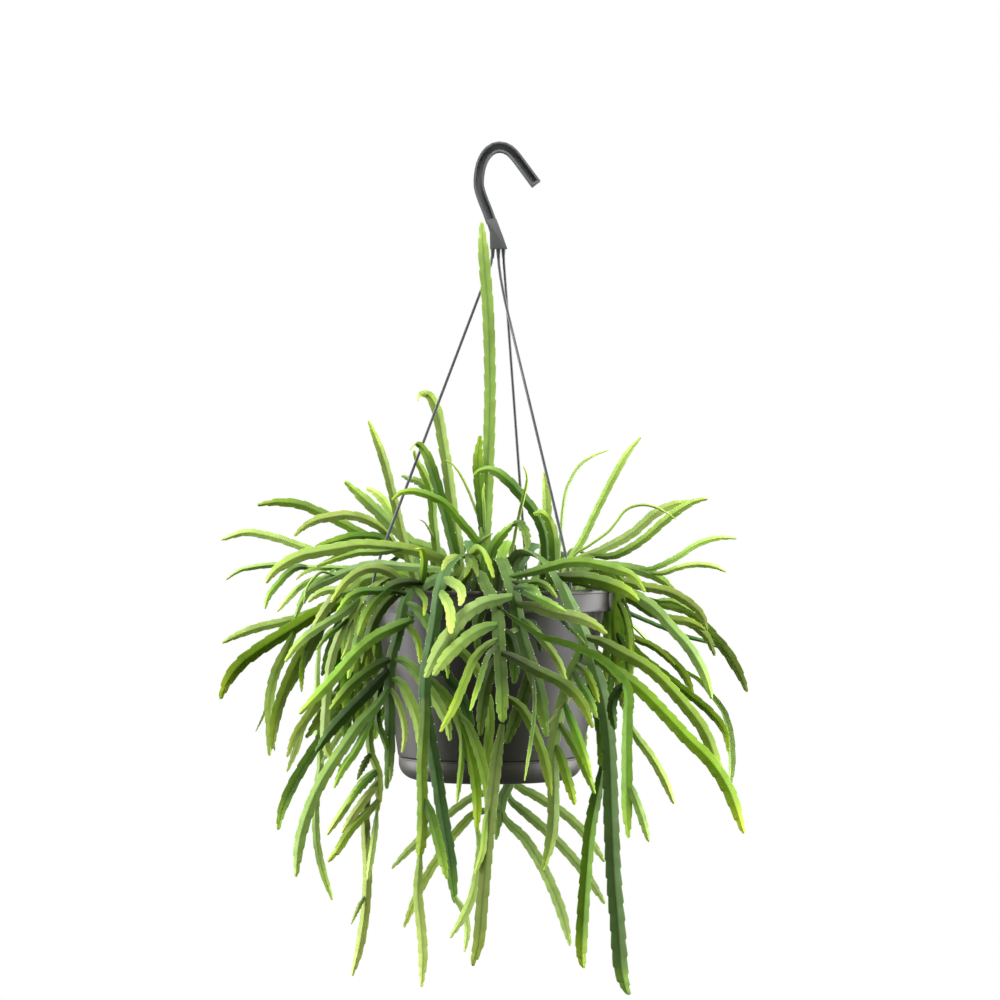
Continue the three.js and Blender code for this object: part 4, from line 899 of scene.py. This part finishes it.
            [348, 580], [338, 592], [331, 603]),
        side("dark", 5, 9, [410, 592], [395, 591], [378, 591], [362, 591.5], [350, 597],
            [337, 612]),
        side("bright", 5, 30, [421, 586], [423, 574], [424, 558], [421, 549], [415, 549]),
        side("bright", 3.6, 22, [411, 591], [419, 592], [425, 600], [424, 616]),
        side("shade", 6.4, 4, [420, 586], [404, 589], [388, 601], [376, 618], [368, 640],
            [362, 664]),
        side("dark", 6.2, 12, [424, 584], [408, 582], [392, 586], [378, 598], [366, 616],
            [358, 636])),

    # Shoots behind the pot
    shoot("shoot_back_centre", "back", [8, 46],
        stem("grey", 6.4, [497, 578, 60], [501, 571, 72], [508, 580, 84], [513, 620, 88],
            [516, 680, 86], [515, 740, 82], [511, 780, 76], [503, 797, 72], [499, 818, 70],
            [496, 840, 68]),
        side("light", 6, 8, [512, 770], [516, 784], [536, 796], [564.5, 814], [585, 834],
            [605, 862]),
        side("light", 6.2, 2, [505, 790], [510, 799], [524.5, 812], [553, 837], [581, 868],
            [593, 885], [605, 904]),
        side("light", 6.6, -8, [499.5, 812], [506, 820], [524, 838], [544, 870], [560.5, 909],
            [570.5, 946]),
        side("light", 5, 10, [502, 796], [480, 794], [458, 807], [438, 823.5], [411, 848],
            [391.5, 868.5]),
        side("pale", 5.4, -4, [499, 814], [478, 812], [458, 830], [438, 858], [422, 885],
            [413, 905], [404, 927.5])),
]


# The photograph hides the back and the two sides, so the shoots there follow one habit:
# up from the soil, over the rim and down, with five side stems on the way.
hiddenColumns = ("name", "degrees", "root", "rise", "reach", "fall", "tone", "drift")
hiddenShoots = [
    ("shoot_back_1", 60, 53, 12, 7, 80, "mid", -3),
    ("shoot_back_2", 90, 56, 10, 7, 100, "dark", 5),
    ("shoot_back_3", 99, 56, 11, 8, 92, "grey", -4),
    ("shoot_back_4", 108, 54, 13, 9, 84, "mid", 2),
    ("shoot_back_5", 116, 55, 12, 8, 98, "dark", 4),
    ("shoot_back_6", 64, 37, 25, 18, 104, "grey", -3),
    ("shoot_back_7", 81, 34, 27, 21, 88, "mid", -3),
    ("shoot_back_8", 103, 36, 27, 24, 112, "grey", 3),
    ("shoot_back_9", 126, 50, 20, 16, 96, "dark", 4),
    ("shoot_side_1", 171, 60, 9, 12, 96, "dark", 2),
    ("shoot_side_2", 158, 60, 9, 9, 84, "mid", -3),
    ("shoot_side_3", 3, 60, 9, 5, 72, "dark", 2),
    ("shoot_side_4", -21, 59, 9, 4, 62, "mid", 2),
    ("shoot_side_5", 45, 50, 20, 16, 92, "grey", 2),
    ("shoot_side_6", -12, 60, 8, 4, 66, "mid", 2),
    ("shoot_side_7", 143, 50, 20, 18, 90, "grey", 2),
    ("shoot_side_8", 188, 60, 6, 5, 88, "mid", 2),
    ("shoot_side_9", 34, 52, 22, 17, 84, "dark", 2),
]
hidden = {
    "width": 6.4,
    "sideWidth": 5.4,
    "sideShares": (0.1, 0.26, 0.42, 0.58, 0.74),
    "sideTones": ("mid", "sage", "dark", "bright"),
    "sideSteps": ((0, 0), (0.5, 0.22), (0.9, 0.62), (1, 1)),
    "sideLength": 54,
    "lengthStep": 7,
    "spread": 21,
    "spreadAway": 7,
    "out": 6,
    "outStep": 5,
    "outAway": 17,
}


# Growth: a stem's points become a curve with a facing. Millimetres, as in the frame's own source.
trace = {"scale": 0.6, "distance": 2000, "side": 0.8, "level": -208.6, "middle": 500}
growth = {
    "samples": 32,
    "divisions": 200,
    "layStep": 1.5,
    "layMost": 45,
    "layDoubt": 1.5,
    "bendReach": 45,
    "soilTop": -273.4,
    "soilGap": 0.3,
    "uprightStart": 7,
    "mergedPixels": 6,
    "outPower": 0.8,
    "petioleLength": 9,
    "rootLength": 26,
    "mostOfLength": 0.4,
    "tipPerWidth": 2.3,
    "bluntTip": 3,
    "shortTipPerWidth": 0.9,
    "rootSize": 0.6,
    "petioleSize": 0.4,
    "tipSize": {"pointed": 0.2, "blunt": 0.55, "short": 0.3},
    "thicknessPerWidth": 0.34,
    "thinnest": 1.8,
    "thinnestSize": 0.45,
    "facingOut": 0.6,
    "facingUp": 0.2,
    "facingRadius": 60,
    "facingPull": 0.16,
}


def placeOf(px, py, depth):
    scale = trace["scale"] * (trace["distance"] + depth) / trace["distance"]
    across = trace["side"] + (px - trace["middle"]) * scale
    return Vector((across, depth, trace["level"] - (py - trace["middle"]) * scale))


def seenAt(place):
    scale = trace["scale"] * (trace["distance"] + place.y) / trace["distance"]
    px = trace["middle"] + (place.x - trace["side"]) / scale
    return px, trace["middle"] - (place.z - trace["level"]) / scale, place.y


def hiddenShoot(index, row):
    plan = dict(zip(hiddenColumns, row))
    away = math.cos(math.radians(plan["degrees"]))
    behind = math.sin(math.radians(plan["degrees"]))
    rim, reach, fall, drift = pot["rimRadius"], plan["reach"], plan["fall"], plan["drift"]

    def at(radius, height, turnedBy=0):
        return seenAt(aroundPot(radius, plan["degrees"] + turnedBy, pot["rimTop"] + height))

    main = stem(
        plan["tone"],
        hidden["width"],
        at(plan["root"] + 4, plan["rise"] * 0.5),
        at(rim - 12, plan["rise"], drift * 0.3),
        at(rim + 3, plan["rise"] * 0.6, drift * 0.6),
        at(rim + reach * 0.8, -0.3 * fall, drift),
        at(rim + reach, -0.65 * fall, 1.5 * drift),
        at(rim + reach * 0.9, -fall, 2 * drift),
    )
    sides = []
    for i, share in enumerate(hidden["sideShares"]):
        px, py, _ = at(rim + reach, -share * fall, drift)
        way = 1 if (i + index) % 2 else -1
        step = hidden["lengthStep"]
        length = hidden["sideLength"] - step * i + step * ((index * 2 + i) % 3)
        spread = way * hidden["spread"] * behind + hidden["spreadAway"] * away
        out = (hidden["out"] + hidden["outStep"] * ((i + index) % 3)) * behind
        out += way * hidden["outAway"] * away
        points = [(px + over * spread, py + down * length) for over, down in hidden["sideSteps"]]
        tone = hidden["sideTones"][(index + i) % len(hidden["sideTones"])]
        sides.append(side(tone, hidden["sideWidth"], out, *points))
    root = (plan["root"] * away, plan["root"] * behind)
    return shoot(plan["name"], "back", root, main, *sides)


class Curve:
    # a centripetal Catmull-Rom curve, read by its length
    def __init__(self, points):
        ends = [2 * points[0] - points[1], *points, 2 * points[-1] - points[-2]]
        spans = len(points) - 1
        parts = [self.cubic(*ends[i:i + 4]) for i in range(spans)]
        self.places = []
        for i in range(growth["divisions"] + 1):
            reached = spans * i / growth["divisions"]
            span = min(int(reached), spans - 1)
            t = reached - span
            a, b, c, d = parts[span]
            self.places.append(a + b * t + c * t * t + d * t * t * t)
        self.lengths = [0.0]
        for before, after in zip(self.places, self.places[1:]):
            self.lengths.append(self.lengths[-1] + (after - before).length)
        ends = [self.places[0], *self.places, self.places[-1]]
        self.ways = [(after - before).normalized() for before, after in zip(ends, ends[2:])]
        self.length = self.lengths[-1]

    @staticmethod
    def cubic(p0, p1, p2, p3):
        d0, d1, d2 = (math.sqrt((b - a).length) for a, b in ((p0, p1), (p1, p2), (p2, p3)))
        way1 = ((p1 - p0) / d0 - (p2 - p0) / (d0 + d1) + (p2 - p1) / d1) * d1
        way2 = ((p2 - p1) / d1 - (p3 - p1) / (d1 + d2) + (p3 - p2) / d2) * d1
        return p1, way1, -3 * p1 + 3 * p2 - 2 * way1 - way2, 2 * p1 - 2 * p2 + way1 + way2

    def at(self, length):
        low = min(max(bisect.bisect_right(self.lengths, length) - 1, 0), len(self.lengths) - 2)
        share = (length - self.lengths[low]) / (self.lengths[low + 1] - self.lengths[low])
        place = self.places[low].lerp(self.places[low + 1], share)
        return place, self.ways[low].lerp(self.ways[low + 1], max(0, min(1, share))).normalized()


def mainPlaces(plan, made, push):
    root = Vector((*plan["root"], growth["soilTop"] + growth["soilGap"])) + pot["centre"]
    places = []
    for px, py, depth in made["points"]:
        near = min(1, (placeOf(px, py, depth) - root).length / growth["bendReach"])
        places.append(placeOf(px, py, depth + push * near * near * (3 - 2 * near)))
    return [root, root + Vector((0, 0, growth["uprightStart"])), *places]


def sidePlaces(made, grown, outward):
    firstX, firstY = made["points"][0][:2]
    nearest, base = math.inf, None
    for other in grown:
        for place in other["places"]:
            px, py, _ = seenAt(place)
            apart = math.hypot(px - firstX, py - firstY)
            if apart < nearest:
                nearest, base = apart, place
    traced = made["points"][1:] if nearest < growth["mergedPixels"] else made["points"]
    lengths, length = [], 0
    lastX, lastY, _ = seenAt(base)
    for px, py in traced:
        length += math.hypot(px - lastX, py - lastY)
        lengths.append(length)
        lastX, lastY = px, py
    places = [base]
    for (px, py), reached in zip(traced, lengths):
        out = outward * made["out"] * (reached / length) ** growth["outPower"]
        places.append(placeOf(px, py, base.y + out))
    return places


def grow(points, made, outward):
    curve = Curve(points)
    count = growth["samples"]
    steps = [curve.at(curve.length * i / count) for i in range(count + 1)]
    places = [place for place, _ in steps]
    along = [way for _, way in steps]
    if not made["isSide"]:
        along[0] = Vector((0, 0, 1))
    radial = Vector((places[0].x - pot["centre"].x, places[0].y - pot["centre"].y, 0))
    radial *= growth["facingOut"] / max(radial.length, growth["facingRadius"])
    facing = Vector((0, outward, growth["facingUp"])) + radial
    wide = along[0].cross(facing).normalized()
    wides = []
    for i, way in enumerate(along):
        wished = way.cross(facing) * growth["facingPull"]
        wide = wide + wished * (-1 if wished.dot(wide) < 0 else 1)
        wide = (wide - way * wide.dot(way)).normalized()
        start, end = made["twist"]
        angle = math.radians(start + (end - start) * i / count)
        wides.append(Quaternion(way, angle) @ wide)
    grown = {"curve": curve, "places": places, "along": along, "wides": wides, "made": made}
    grown.update(sizesOf(made, curve.length))
    return grown


def sizesOf(made, length):
    most = growth["mostOfLength"] * length
    tips = {
        "pointed": growth["tipPerWidth"] * made["width"],
        "blunt": growth["bluntTip"],
        "short": growth["shortTipPerWidth"] * made["width"],
    }
    tip = tips[made["tip"]]
    base = growth["petioleLength"] if made["isSide"] else growth["rootLength"]
    return {
        "length": length,
        "tipLength": min(tip, most),
        "baseLength": min(base, most),
        "baseSize": growth["petioleSize"] if made["isSide"] else growth["rootSize"],
        "tipSize": growth["tipSize"][made["tip"]],
        "thickness": max(growth["thicknessPerWidth"] * made["width"], growth["thinnest"]),
    }


def sizeAt(grown, length):
    fromBase = length / grown["baseLength"]
    fromTip = (grown["length"] - length) / grown["tipLength"]
    return min(1, rising(grown["baseSize"], fromBase), rising(grown["tipSize"], fromTip))


def growShoot(plan, push):
    outward = -1 if plan["laid"] == "front" else 1
    grown = []
    for made in plan["stems"]:
        if made["isSide"]:
            points = sidePlaces(made, grown, outward)
        else:
            points = mainPlaces(plan, made, push * outward)
        grown.append(grow(points, made, outward))
    return grown


def laidLikeFrame(plan):
    # the frame's solid was laid clear of its neighbours by a push in depth, which its box shows
    low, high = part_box(plan["name"])
    best = (math.inf, None)
    push = 0
    while push <= growth["layMost"]:
        grown = growShoot(plan, push)
        depths = []
        for one in grown:
            for i, place in enumerate(one["places"]):
                size = sizeAt(one, one["length"] * i / growth["samples"])
                wide = one["wides"][i]
                through = abs(wide.cross(one["along"][i]).normalized().y) * one["thickness"]
                across = abs(wide.y) * one["made"]["width"] * size
                half = 0.5 * max(across, through * max(size, growth["thinnestSize"]))
                depths += [place.y - half, place.y + half]
        off = abs(min(depths) - low.y / mm) + abs(max(depths) - high.y / mm)
        if off >= best[0]:
            break
        best = (off, grown)
        push += growth["layStep"]
    if best[0] > growth["layDoubt"]:
        print("laid unlike the frame:", plan["name"], round(best[0], 2))
    return best[1]


# Stem meshes: straps with a ridge down each face, notched margins and wool at some notches
tones = {
    # base, middle and tip colour, size of a tuft, share of the notches that carry one
    "grey": ((60, 82, 40), (68, 96, 46), (106, 142, 54), 0.32, 0.7),
    "sage": ((68, 96, 32), (122, 148, 74), (152, 180, 74), 0.2, 0.4),
    "dark": ((32, 50, 8), (72, 104, 26), (132, 164, 54), 0.26, 0.5),
    "shade": ((32, 50, 10), (48, 74, 16), (72, 102, 26), 0.2, 0.3),
    "mid": ((72, 98, 36), (112, 146, 46), (152, 182, 60), 0.16, 0.25),
    "bright": ((48, 78, 12), (98, 136, 26), (156, 186, 50), 0.1, 0.15),
    "pale": ((86, 116, 44), (142, 170, 74), (168, 192, 88), 0.1, 0.1),
    # 'light' is a lighter copy of 'pale': painted light for stems that hang in shade under the
    # arching shoots and below the pot
    "light": ((118, 146, 66), (166, 190, 98), (188, 210, 112), 0.1, 0.1),
}
slots = {"grey": "stem_mature"}
strap = {
    # half of the cross section, as shares of half the width and half the thickness
    "section": [
        (-1, 0), (-0.9, 0.24), (-0.26, 0.48), (-0.07, 0.9), (0.07, 0.9), (0.26, 0.48), (0.9, 0.24),
    ],
    "proud": 1.07,
    "ripple": 0.35,
    "rippleScale": 0.09,
    "buried": 5,
    "sharpAngle": 70,
    "seedsPerShoot": 100,
    # notches: depth as a share of half the width, eight rings to a tooth
    "ringsPerTooth": 8,
    "swell": (1.0, 0.8, 0.61, 0.44, 0.29, 0.16, 0.05, 0.0),
    "notch": 0.14,
    "notchSpread": (0.7, 1.25),
    "crownNotch": 1.2,
    "crownReach": (14, 4),
    "plainLength": 8.0,
    "youngPlainLess": 6.0,
    "toothAtBase": 6.4,
    "toothFar": 10.4,
    "toothGrowth": 130,
    "crownTeeth": 0.62,
    "crownLength": 16,
    # ends of a stem, by the kind of its tip
    "fullness": 0.8,
    "tipEnd": {"pointed": 0.28, "blunt": 0.5, "short": 0.4},
    "tipTaper": {"pointed": 0.32, "blunt": 0.1, "short": 0.16},
    "lean": {"pointed": 0.0, "blunt": 0.4, "short": 0.7},
    "leanReach": 1.3,
    "closing": ((0.0, 1.0), (0.5, 0.86), (0.85, 0.5), (1.0, 0.0)),
    "longestTaper": 26,
    "leastTaper": 0.6,
    "baseTaper": 0.3,
    # young side stems, from the first length down to the second
    "young": (36, 20),
    "youngTooth": 0.6,
    "youngNotch": 2.4,
    "youngTip": 0.5,
    "youngTaper": 0.7,
    "youngThickness": 0.55,
    "youngShade": 0.78,
    # colours
    # stem bases in the crown: partly their own older colour, partly painted shade where the crown
    # shades them
    "rootToneAndShade": (48, 54, 26),
    "rootReach": (-2, 16),
    "baseReach": (0.6, 55),
    "tipReach": (0.45, 30),
    "lightness": (0.9, 1.1),
    "warmth": (-7, 7),
    # tufts of wool
    "tuftFrom": 5,
    "tuftLeast": 0.35,
    "tuftProud": 0.12,
    "tuftSpread": (0.7, 1.2),
    "tuftStretch": 1.25,
}


def youngShare(length):
    return smoothStep(*strap["young"], length)


def shownSize(grown, length):
    # a blade that widens slowly from its base and narrows slowly to its tip
    whole, tip = grown["length"], grown["made"]["tip"]
    young = youngShare(whole)
    end = strap["tipEnd"][tip] * lessened(strap["youngTip"], young)
    tapered = strap["tipTaper"][tip] * (1 - young) + strap["youngTaper"] * young
    least = strap["leastTaper"] * grown["tipLength"]
    taper = min(strap["longestTaper"], max(tapered * whole, least))
    share = max(0, min(1, (whole - length) / taper))
    widening = max(grown["baseLength"], min(strap["longestTaper"], strap["baseTaper"] * whole))
    widened = math.sin(min(1, length / widening) * math.pi / 2)
    base = rising(grown["baseSize"], widened)
    return min(base, rising(end, math.sin(share * math.pi / 2) ** strap["fullness"]))


def ringLengths(length, made):
    # (length, openness) of each ring: shorter teeth at the crown, and a rounded end
    rings = [] if made["isSide"] else [(-strap["buried"], 1.0)]
    at = 0.0
    young = youngShare(length)
    close = length - 0.5 * made["width"] * strap["tipEnd"][made["tip"]]
    while at < close - 0.3:
        rings.append((at, 1.0))
        far = min(1, at / strap["toothGrowth"])
        tooth = strap["toothAtBase"] + (strap["toothFar"] - strap["toothAtBase"]) * far
        crown = smoothStep(strap["crownLength"], 0.5 * strap["crownLength"], length - at)
        shorter = lessened(strap["crownTeeth"], crown) * lessened(strap["youngTooth"], young)
        at += tooth * shorter / strap["ringsPerTooth"]
    end = length - close
    return rings + [(close + share * end, openness) for share, openness in strap["closing"]]


def ownColours(tone, young, rolls):
    # base, middle and tip of one stem: a little lighter, darker, warmer or cooler than its tone
    lightness = rolls.uniform(*strap["lightness"]) * lessened(strap["youngShade"], young)
    warmth = rolls.uniform(*strap["warmth"])
    shift = (warmth, 0, -warmth / 2)
    return [
        colour(*[max(0, min(255, c * lightness + w)) for c, w in zip(part, shift)])
        for part in tone[:3]
    ]


def shownColour(grown, own, at):
    length = grown["length"]
    baseShare, baseMost = strap["baseReach"]
    tipShare, tipMost = strap["tipReach"]
    shown = mixed(own[0], own[1], smoothStep(0, min(baseShare * length, baseMost), at))
    shown = mixed(shown, own[2], smoothStep(min(tipShare * length, tipMost), 1, length - at))
    if grown["made"]["isSide"]:
        return shown
    # main stems darken towards the soil: partly older skin, partly painted shade inside the crown
    return mixed(colour(*strap["rootToneAndShade"]), shown, smoothStep(*strap["rootReach"], at))


def crossing(grown, at):
    # where the ring at a length lies, and its three directions
    place, along = grown["curve"].at(at)
    sample = at / grown["length"] * growth["samples"]
    sample = max(0, min(growth["samples"] - 1e-6, sample))
    low = int(sample)
    wide = grown["wides"][low].lerp(grown["wides"][low + 1], sample - low)
    wide = (wide - along * wide.dot(along)).normalized()
    return place, along, wide, wide.cross(along).normalized()


def stemMesh(grown, seed):
    made, whole = grown["made"], grown["length"]
    rolls = random.Random(seed)
    tone = tones[made["tone"]]
    tuftRadius, tuftShare = tone[3:]
    young = youngShare(whole) if made["isSide"] else 0
    own = ownColours(tone, young, rolls)
    rings = ringLengths(whole, made)
    section = strap["section"]
    outline = section + [(1, 0)] + [(u, -v) for u, v in reversed(section[1:])]
    around = len(outline)
    bm = bmesh.new()
    bmesh.ops.create_grid(bm, x_segments=around, y_segments=len(rings) - 1, size=1)
    stemColour = bm.verts.layers.float_color.new("stemColour")
    across = bm.verts.layers.float.new("across")
    cells = {}
    for vert in bm.verts:
        column = round((vert.co.x + 1) / 2 * around)
        row = round((vert.co.y + 1) / 2 * (len(rings) - 1))
        cells.setdefault(row, {})[column] = vert
    perTooth = strap["ringsPerTooth"]
    first = rolls.randrange(perTooth)
    depths = [rolls.uniform(*strap["notchSpread"]) for _ in range(len(rings) // perTooth + 3)]
    notches = []
    slant = rolls.choice((-1, 1))
    for row, (at, closing) in enumerate(rings):
        place, along, wide, through = crossing(grown, at)
        fromTip = whole - at
        size = shownSize(grown, max(0, at))
        if at < 0:
            size, along = grown["baseSize"], Vector((0, 0, 1))
        half = 0.5 * made["width"] * size * strap["proud"]
        thick = 0.5 * grown["thickness"] * max(size, growth["thinnestSize"])
        thick *= lessened(strap["youngThickness"], young)
        leaning = smoothStep(strap["leanReach"] * made["width"], 0, fromTip)
        lean = strap["lean"][made["tip"]] * leaning
        plain = smoothStep(0.0, strap["plainLength"] - strap["youngPlainLess"] * young, at)
        crown = 1 + strap["crownNotch"] * smoothStep(*strap["crownReach"], fromTip)
        notch = strap["notch"] * (crown + (strap["youngNotch"] - crown) * young)
        margins = []
        for way in (-1, 1):
            phase = row + first + (perTooth // 2 if way > 0 else 0)
            step, tooth = phase % perTooth, phase // perTooth
            depth = notch * depths[min(tooth, len(depths) - 1)]
            inset = depth * plain * strap["swell"][step]
            margins.append(half * (1 - inset) * closing)
            isWide = closing == 1.0 and size > strap["tuftLeast"]
            if step == 0 and isWide and at > strap["tuftFrom"]:
                reach = way * (margins[-1] + strap["tuftProud"])
                pulled = along * lean * (slant * reach - half)
                notches.append((place + wide * reach + pulled, wide * way, along))
        wave = strap["ripple"] * noise.noise(place * strap["rippleScale"])
        wave *= size if closing == 1.0 else 0
        shown = shownColour(grown, own, at)
        for column in range(around + 1):
            u, v = outline[column % around]
            vert = cells[row][column]
            reach = u * margins[0 if u < 0 else 1]
            rise = v * thick * (closing ** 0.5) + wave * u * u
            pulled = along * lean * (slant * reach - half)
            vert.co = (place + wide * reach + through * rise + pulled) * mm
            vert[stemColour] = shown
            vert[across] = u
    bmesh.ops.remove_doubles(bm, verts=bm.verts[:], dist=0.004 * mm)
    bmesh.ops.recalc_face_normals(bm, faces=bm.faces[:])
    for place, outwards, along in notches:
        if rolls.random() < tuftShare:
            tuft(bm, place, outwards, along, tuftRadius * rolls.uniform(*strap["tuftSpread"]))
    return bm


def tuft(bm, place, outwards, along, radius):
    turn = Matrix((outwards, along, outwards.cross(along))).transposed().to_4x4()
    made = addBall(bm, place, turn, (radius, radius * strap["tuftStretch"], radius, 1))
    for face in {face for vert in made["verts"] for face in vert.link_faces}:
        face.material_index = 1


def makeShoot(plan, number):
    whole = bmesh.new()
    for i, grown in enumerate(laidLikeFrame(plan)):
        bm = stemMesh(grown, number * strap["seedsPerShoot"] + i)
        part = bpy.data.meshes.new("part")
        bm.to_mesh(part)
        bm.free()
        whole.from_mesh(part)
        bpy.data.meshes.remove(part)
    tone = plan["stems"][0]["tone"]
    words = plan["name"].split("_")
    name = words[0] + "".join(word.title() for word in words[1:])
    skins = [finishes["stem"], finishes["wool"]]
    piece = finished(name, whole, skins, strap["sharpAngle"])
    standsFor(piece, slots.get(tone, "stem_" + tone), plan["name"])
    return len(piece.data.polygons)


plans = shoots + [hiddenShoot(i, row) for i, row in enumerate(hiddenShoots)]
faces = sum(makeShoot(plan, number) for number, plan in enumerate(plans))
print("shoots made:", len(plans), "with", faces, "faces")


# Floor, light and camera
studio = {
    "floorLevel": -2.3,
    "floorRadius": 6,
    "floorTone": (0.85, 0.85, 0.85, 1),
    "floorGlow": 0.45,
    "air": 0.1,
    "background": 1.0,
    "lights": [
        # place, size, power
        ((-1.7, 0.15, -0.12), 1.8, 104),
        ((1.7, 0.15, -0.12), 1.8, 116),
        ((0.0, -0.5, 1.9), 1.2, 100),
        ((-1.1, 1.5, 0.3), 1.2, 14),
        ((1.1, 1.5, 0.3), 1.2, 14),
    ],
    "aim": (0, 0, -0.26),
    "lens": 120,
    "sensor": 36,
}
white = (1, 1, 1, 1)


def makeFloor():
    bm = bmesh.new()
    place = Matrix.Translation((0, 0, studio["floorLevel"]))
    radius = studio["floorRadius"]
    bmesh.ops.create_circle(bm, cap_ends=True, segments=96, radius=radius, matrix=place)
    paint = Surface(
        "floorPaint",
        Base_Color=studio["floorTone"],
        Roughness=0.9,
        Emission_Strength=studio["floorGlow"],
        Emission_Color=white,
    )
    floor = finished("floor", bm, [paint.material])
    floor.visible_glossy = False
    floor.visible_diffuse = False


def makeLights():
    for number, (place, size, power) in enumerate(studio["lights"]):
        lamp = bpy.data.lights.new(f"softBox{number}", "AREA")
        lamp.shape = "SQUARE"
        lamp.size = size
        lamp.energy = power
        box = bpy.data.objects.new(f"softBox{number}", lamp)
        box.location = place
        towards = Vector(studio["aim"]) - Vector(place)
        box.rotation_euler = towards.to_track_quat("-Z", "Y").to_euler()
        bpy.context.scene.collection.objects.link(box)


def makeAir():
    # dim air for the light, a white background for the camera
    world = bpy.data.worlds.new("studioAir")
    bpy.context.scene.world = world
    world.use_nodes = True
    nodes, links = world.node_tree.nodes, world.node_tree.links
    air, seen = nodes["Background"], nodes.new("ShaderNodeBackground")
    for shader, strength in ((air, studio["air"]), (seen, studio["background"])):
        shader.inputs["Color"].default_value = white
        shader.inputs["Strength"].default_value = strength
    either, path = nodes.new("ShaderNodeMixShader"), nodes.new("ShaderNodeLightPath")
    links.new(path.outputs["Is Camera Ray"], either.inputs[0])
    links.new(air.outputs[0], either.inputs[1])
    links.new(seen.outputs[0], either.inputs[2])
    links.new(either.outputs[0], nodes["World Output"].inputs["Surface"])
    bpy.context.scene.view_settings.view_transform = "Standard"


def makeCamera():
    lens = bpy.data.cameras.new("camera")
    lens.lens = studio["lens"]
    lens.sensor_width = studio["sensor"]
    camera = bpy.data.objects.new("camera", lens)
    camera.location = (trace["side"] * mm, -trace["distance"] * mm, trace["level"] * mm)
    camera.rotation_euler = (math.radians(90), 0, 0)
    bpy.context.scene.collection.objects.link(camera)
    bpy.context.scene.camera = camera


makeFloor()
makeLights()
makeAir()
makeCamera()
print("studio made")
